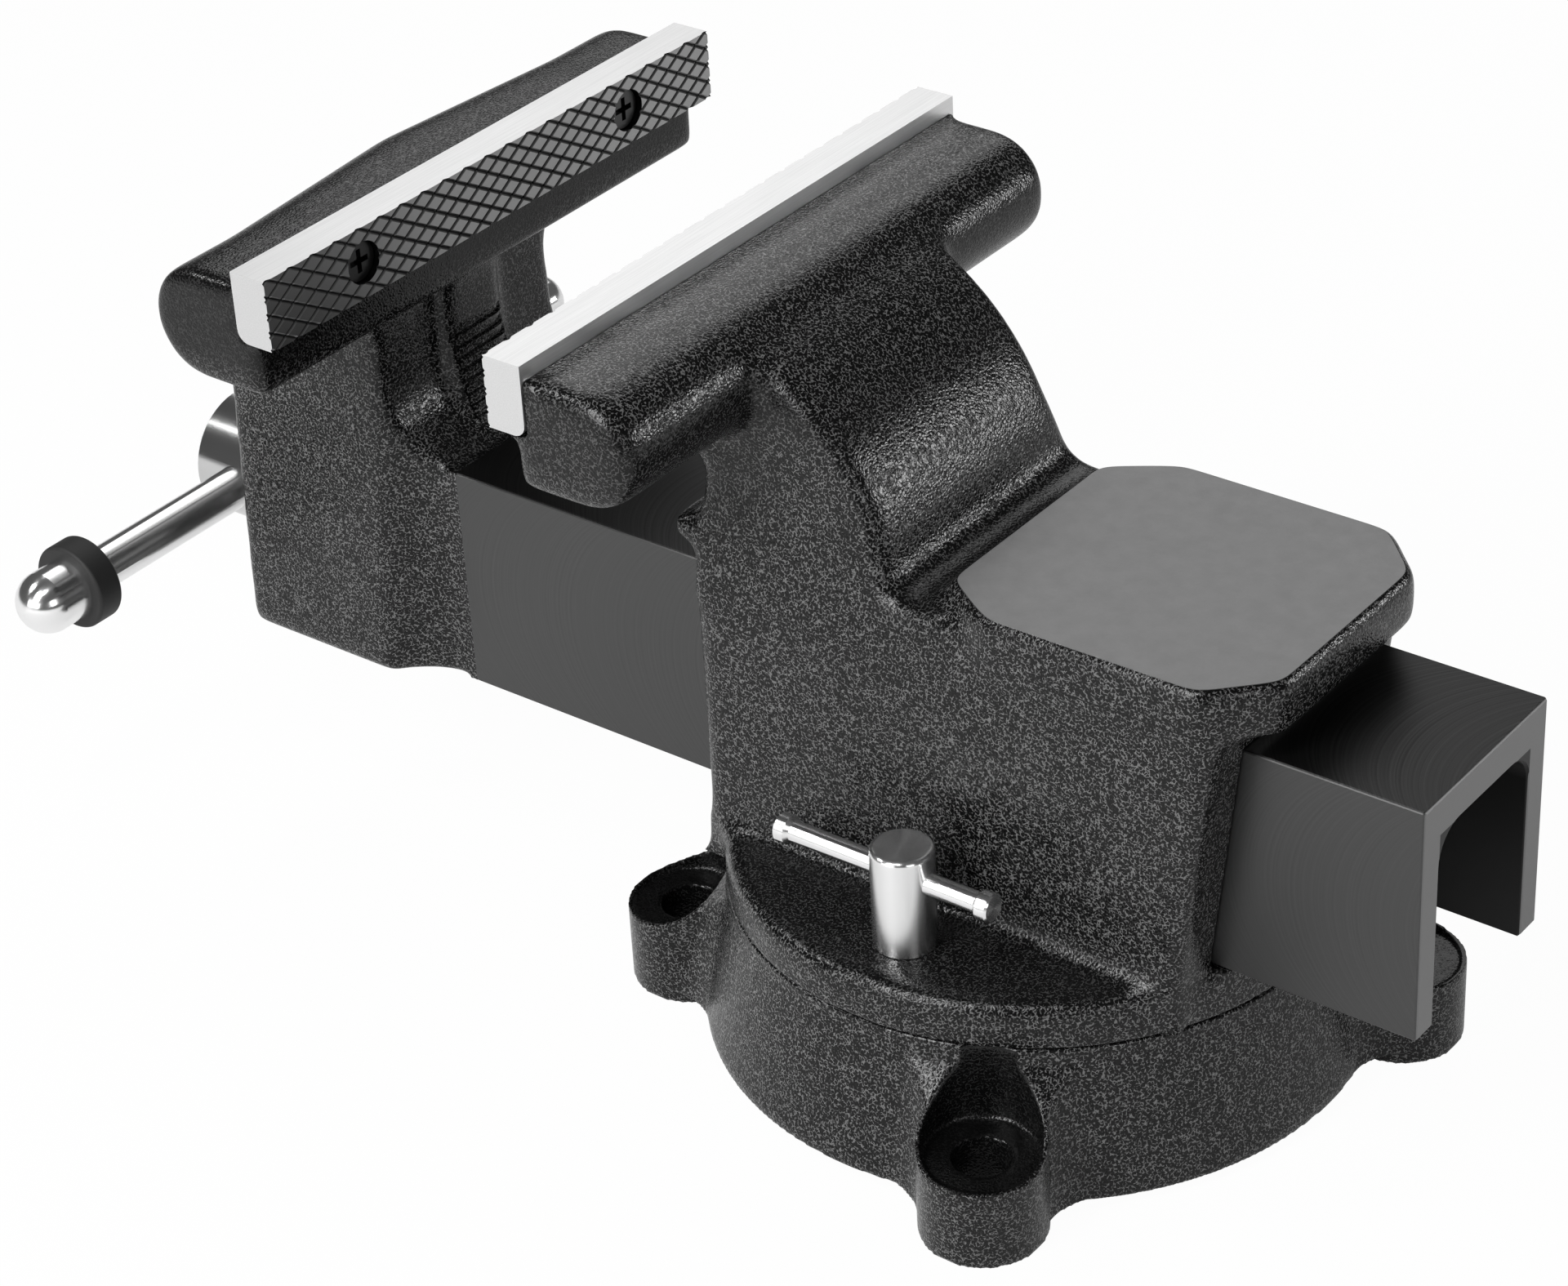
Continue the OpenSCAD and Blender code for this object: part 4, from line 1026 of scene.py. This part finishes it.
# Floor, light, camera
def floor():
    """A pale floor that shows white to the camera and keeps the shadow."""
    bm = bmesh.new()
    bmesh.ops.create_grid(bm, x_segments=1, y_segments=1, size=FLOOR_HALF)
    obj = new_object("floor", bm)
    mat, nt, bsdf = new_material("pale_floor")
    bsdf.inputs["Base Color"].default_value = grey(0.85)
    bsdf.inputs["Roughness"].default_value = 0.9
    bsdf.inputs["Specular IOR Level"].default_value = 0.0
    glow = nt.nodes.new("ShaderNodeEmission")
    path = nt.nodes.new("ShaderNodeLightPath").outputs
    mirrored = work_out(nt, "MAXIMUM", path["Is Glossy Ray"], path["Is Transmission Ray"])
    seen = times(nt, path["Is Camera Ray"], FLOOR_SEEN)
    both = nt.nodes.new("ShaderNodeMixShader")
    feed(nt, both.inputs[0], work_out(nt, "MULTIPLY_ADD", mirrored, FLOOR_MIRRORED, seen))
    feed(nt, both.inputs[1], bsdf.outputs[0])
    feed(nt, both.inputs[2], glow.outputs[0])
    show(nt, both)
    obj.data.materials.append(mat)


def lamp(name, toward, away, width, height, power):
    """A soft lamp in a direction from the vise, pointed at it."""
    data = bpy.data.lights.new(name, "AREA")
    data.shape = "RECTANGLE"
    data.size = width
    data.size_y = height
    data.energy = power
    obj = bpy.data.objects.new(name, data)
    scene.collection.objects.link(obj)
    direction = Vector(toward).normalized()
    obj.location = CENTRE + direction * away
    obj.rotation_euler = (-direction).to_track_quat("-Z", "Y").to_euler()


def world():
    """Even, faint light from all round."""
    scene.world = bpy.data.worlds.new("studio")
    scene.world.use_nodes = True
    sky = scene.world.node_tree.nodes["Background"]
    sky.inputs["Color"].default_value = grey(1.0)
    sky.inputs["Strength"].default_value = WORLD_STRENGTH


def camera():
    """The photograph's own camera."""
    level = math.cos(CAMERA_DOWN)
    ahead = Vector((-math.sin(CAMERA_TURN) * level, math.cos(CAMERA_TURN) * level, -math.sin(CAMERA_DOWN)))
    flat_right = Vector((math.cos(CAMERA_TURN), math.sin(CAMERA_TURN), 0))
    flat_up = flat_right.cross(ahead)
    right = flat_right * math.cos(CAMERA_ROLL) + flat_up * math.sin(CAMERA_ROLL)
    up = flat_up * math.cos(CAMERA_ROLL) - flat_right * math.sin(CAMERA_ROLL)
    data = bpy.data.cameras.new("camera")
    data.sensor_fit = "HORIZONTAL"
    data.sensor_width = SENSOR
    data.lens = FOCAL_PX * SENSOR / PHOTO_PX
    data.clip_end = 50
    obj = bpy.data.objects.new("camera", data)
    scene.collection.objects.link(obj)
    placed = Matrix((right, up, -ahead)).transposed().to_4x4()
    placed.translation = CAMERA_AT
    obj.matrix_world = placed
    scene.camera = obj


floor()
world()
lamp("front", (-0.12, -0.80, 0.58), away=1.6, width=0.4, height=0.9, power=16.0)
lamp("front_low", (-0.20, -0.95, 0.20), away=1.8, width=1.4, height=0.6, power=5.0)
lamp("key_top", (0.13, -0.47, 0.87), away=1.6, width=0.25, height=0.25, power=3.5)
lamp("key_left", (-0.62, -0.38, 0.69), away=1.6, width=0.3, height=0.3, power=5.0)
lamp("back_left", (-0.42, 0.65, 0.63), away=1.6, width=1.2, height=0.9, power=5.4)
lamp("back_right", (0.74, 0.65, 0.20), away=1.5, width=0.3, height=0.3, power=5.0)
lamp("front_right", (0.85, -0.45, 0.35), away=1.6, width=0.6, height=0.6, power=3.0)
camera()
scene.view_settings.view_transform = "Standard"
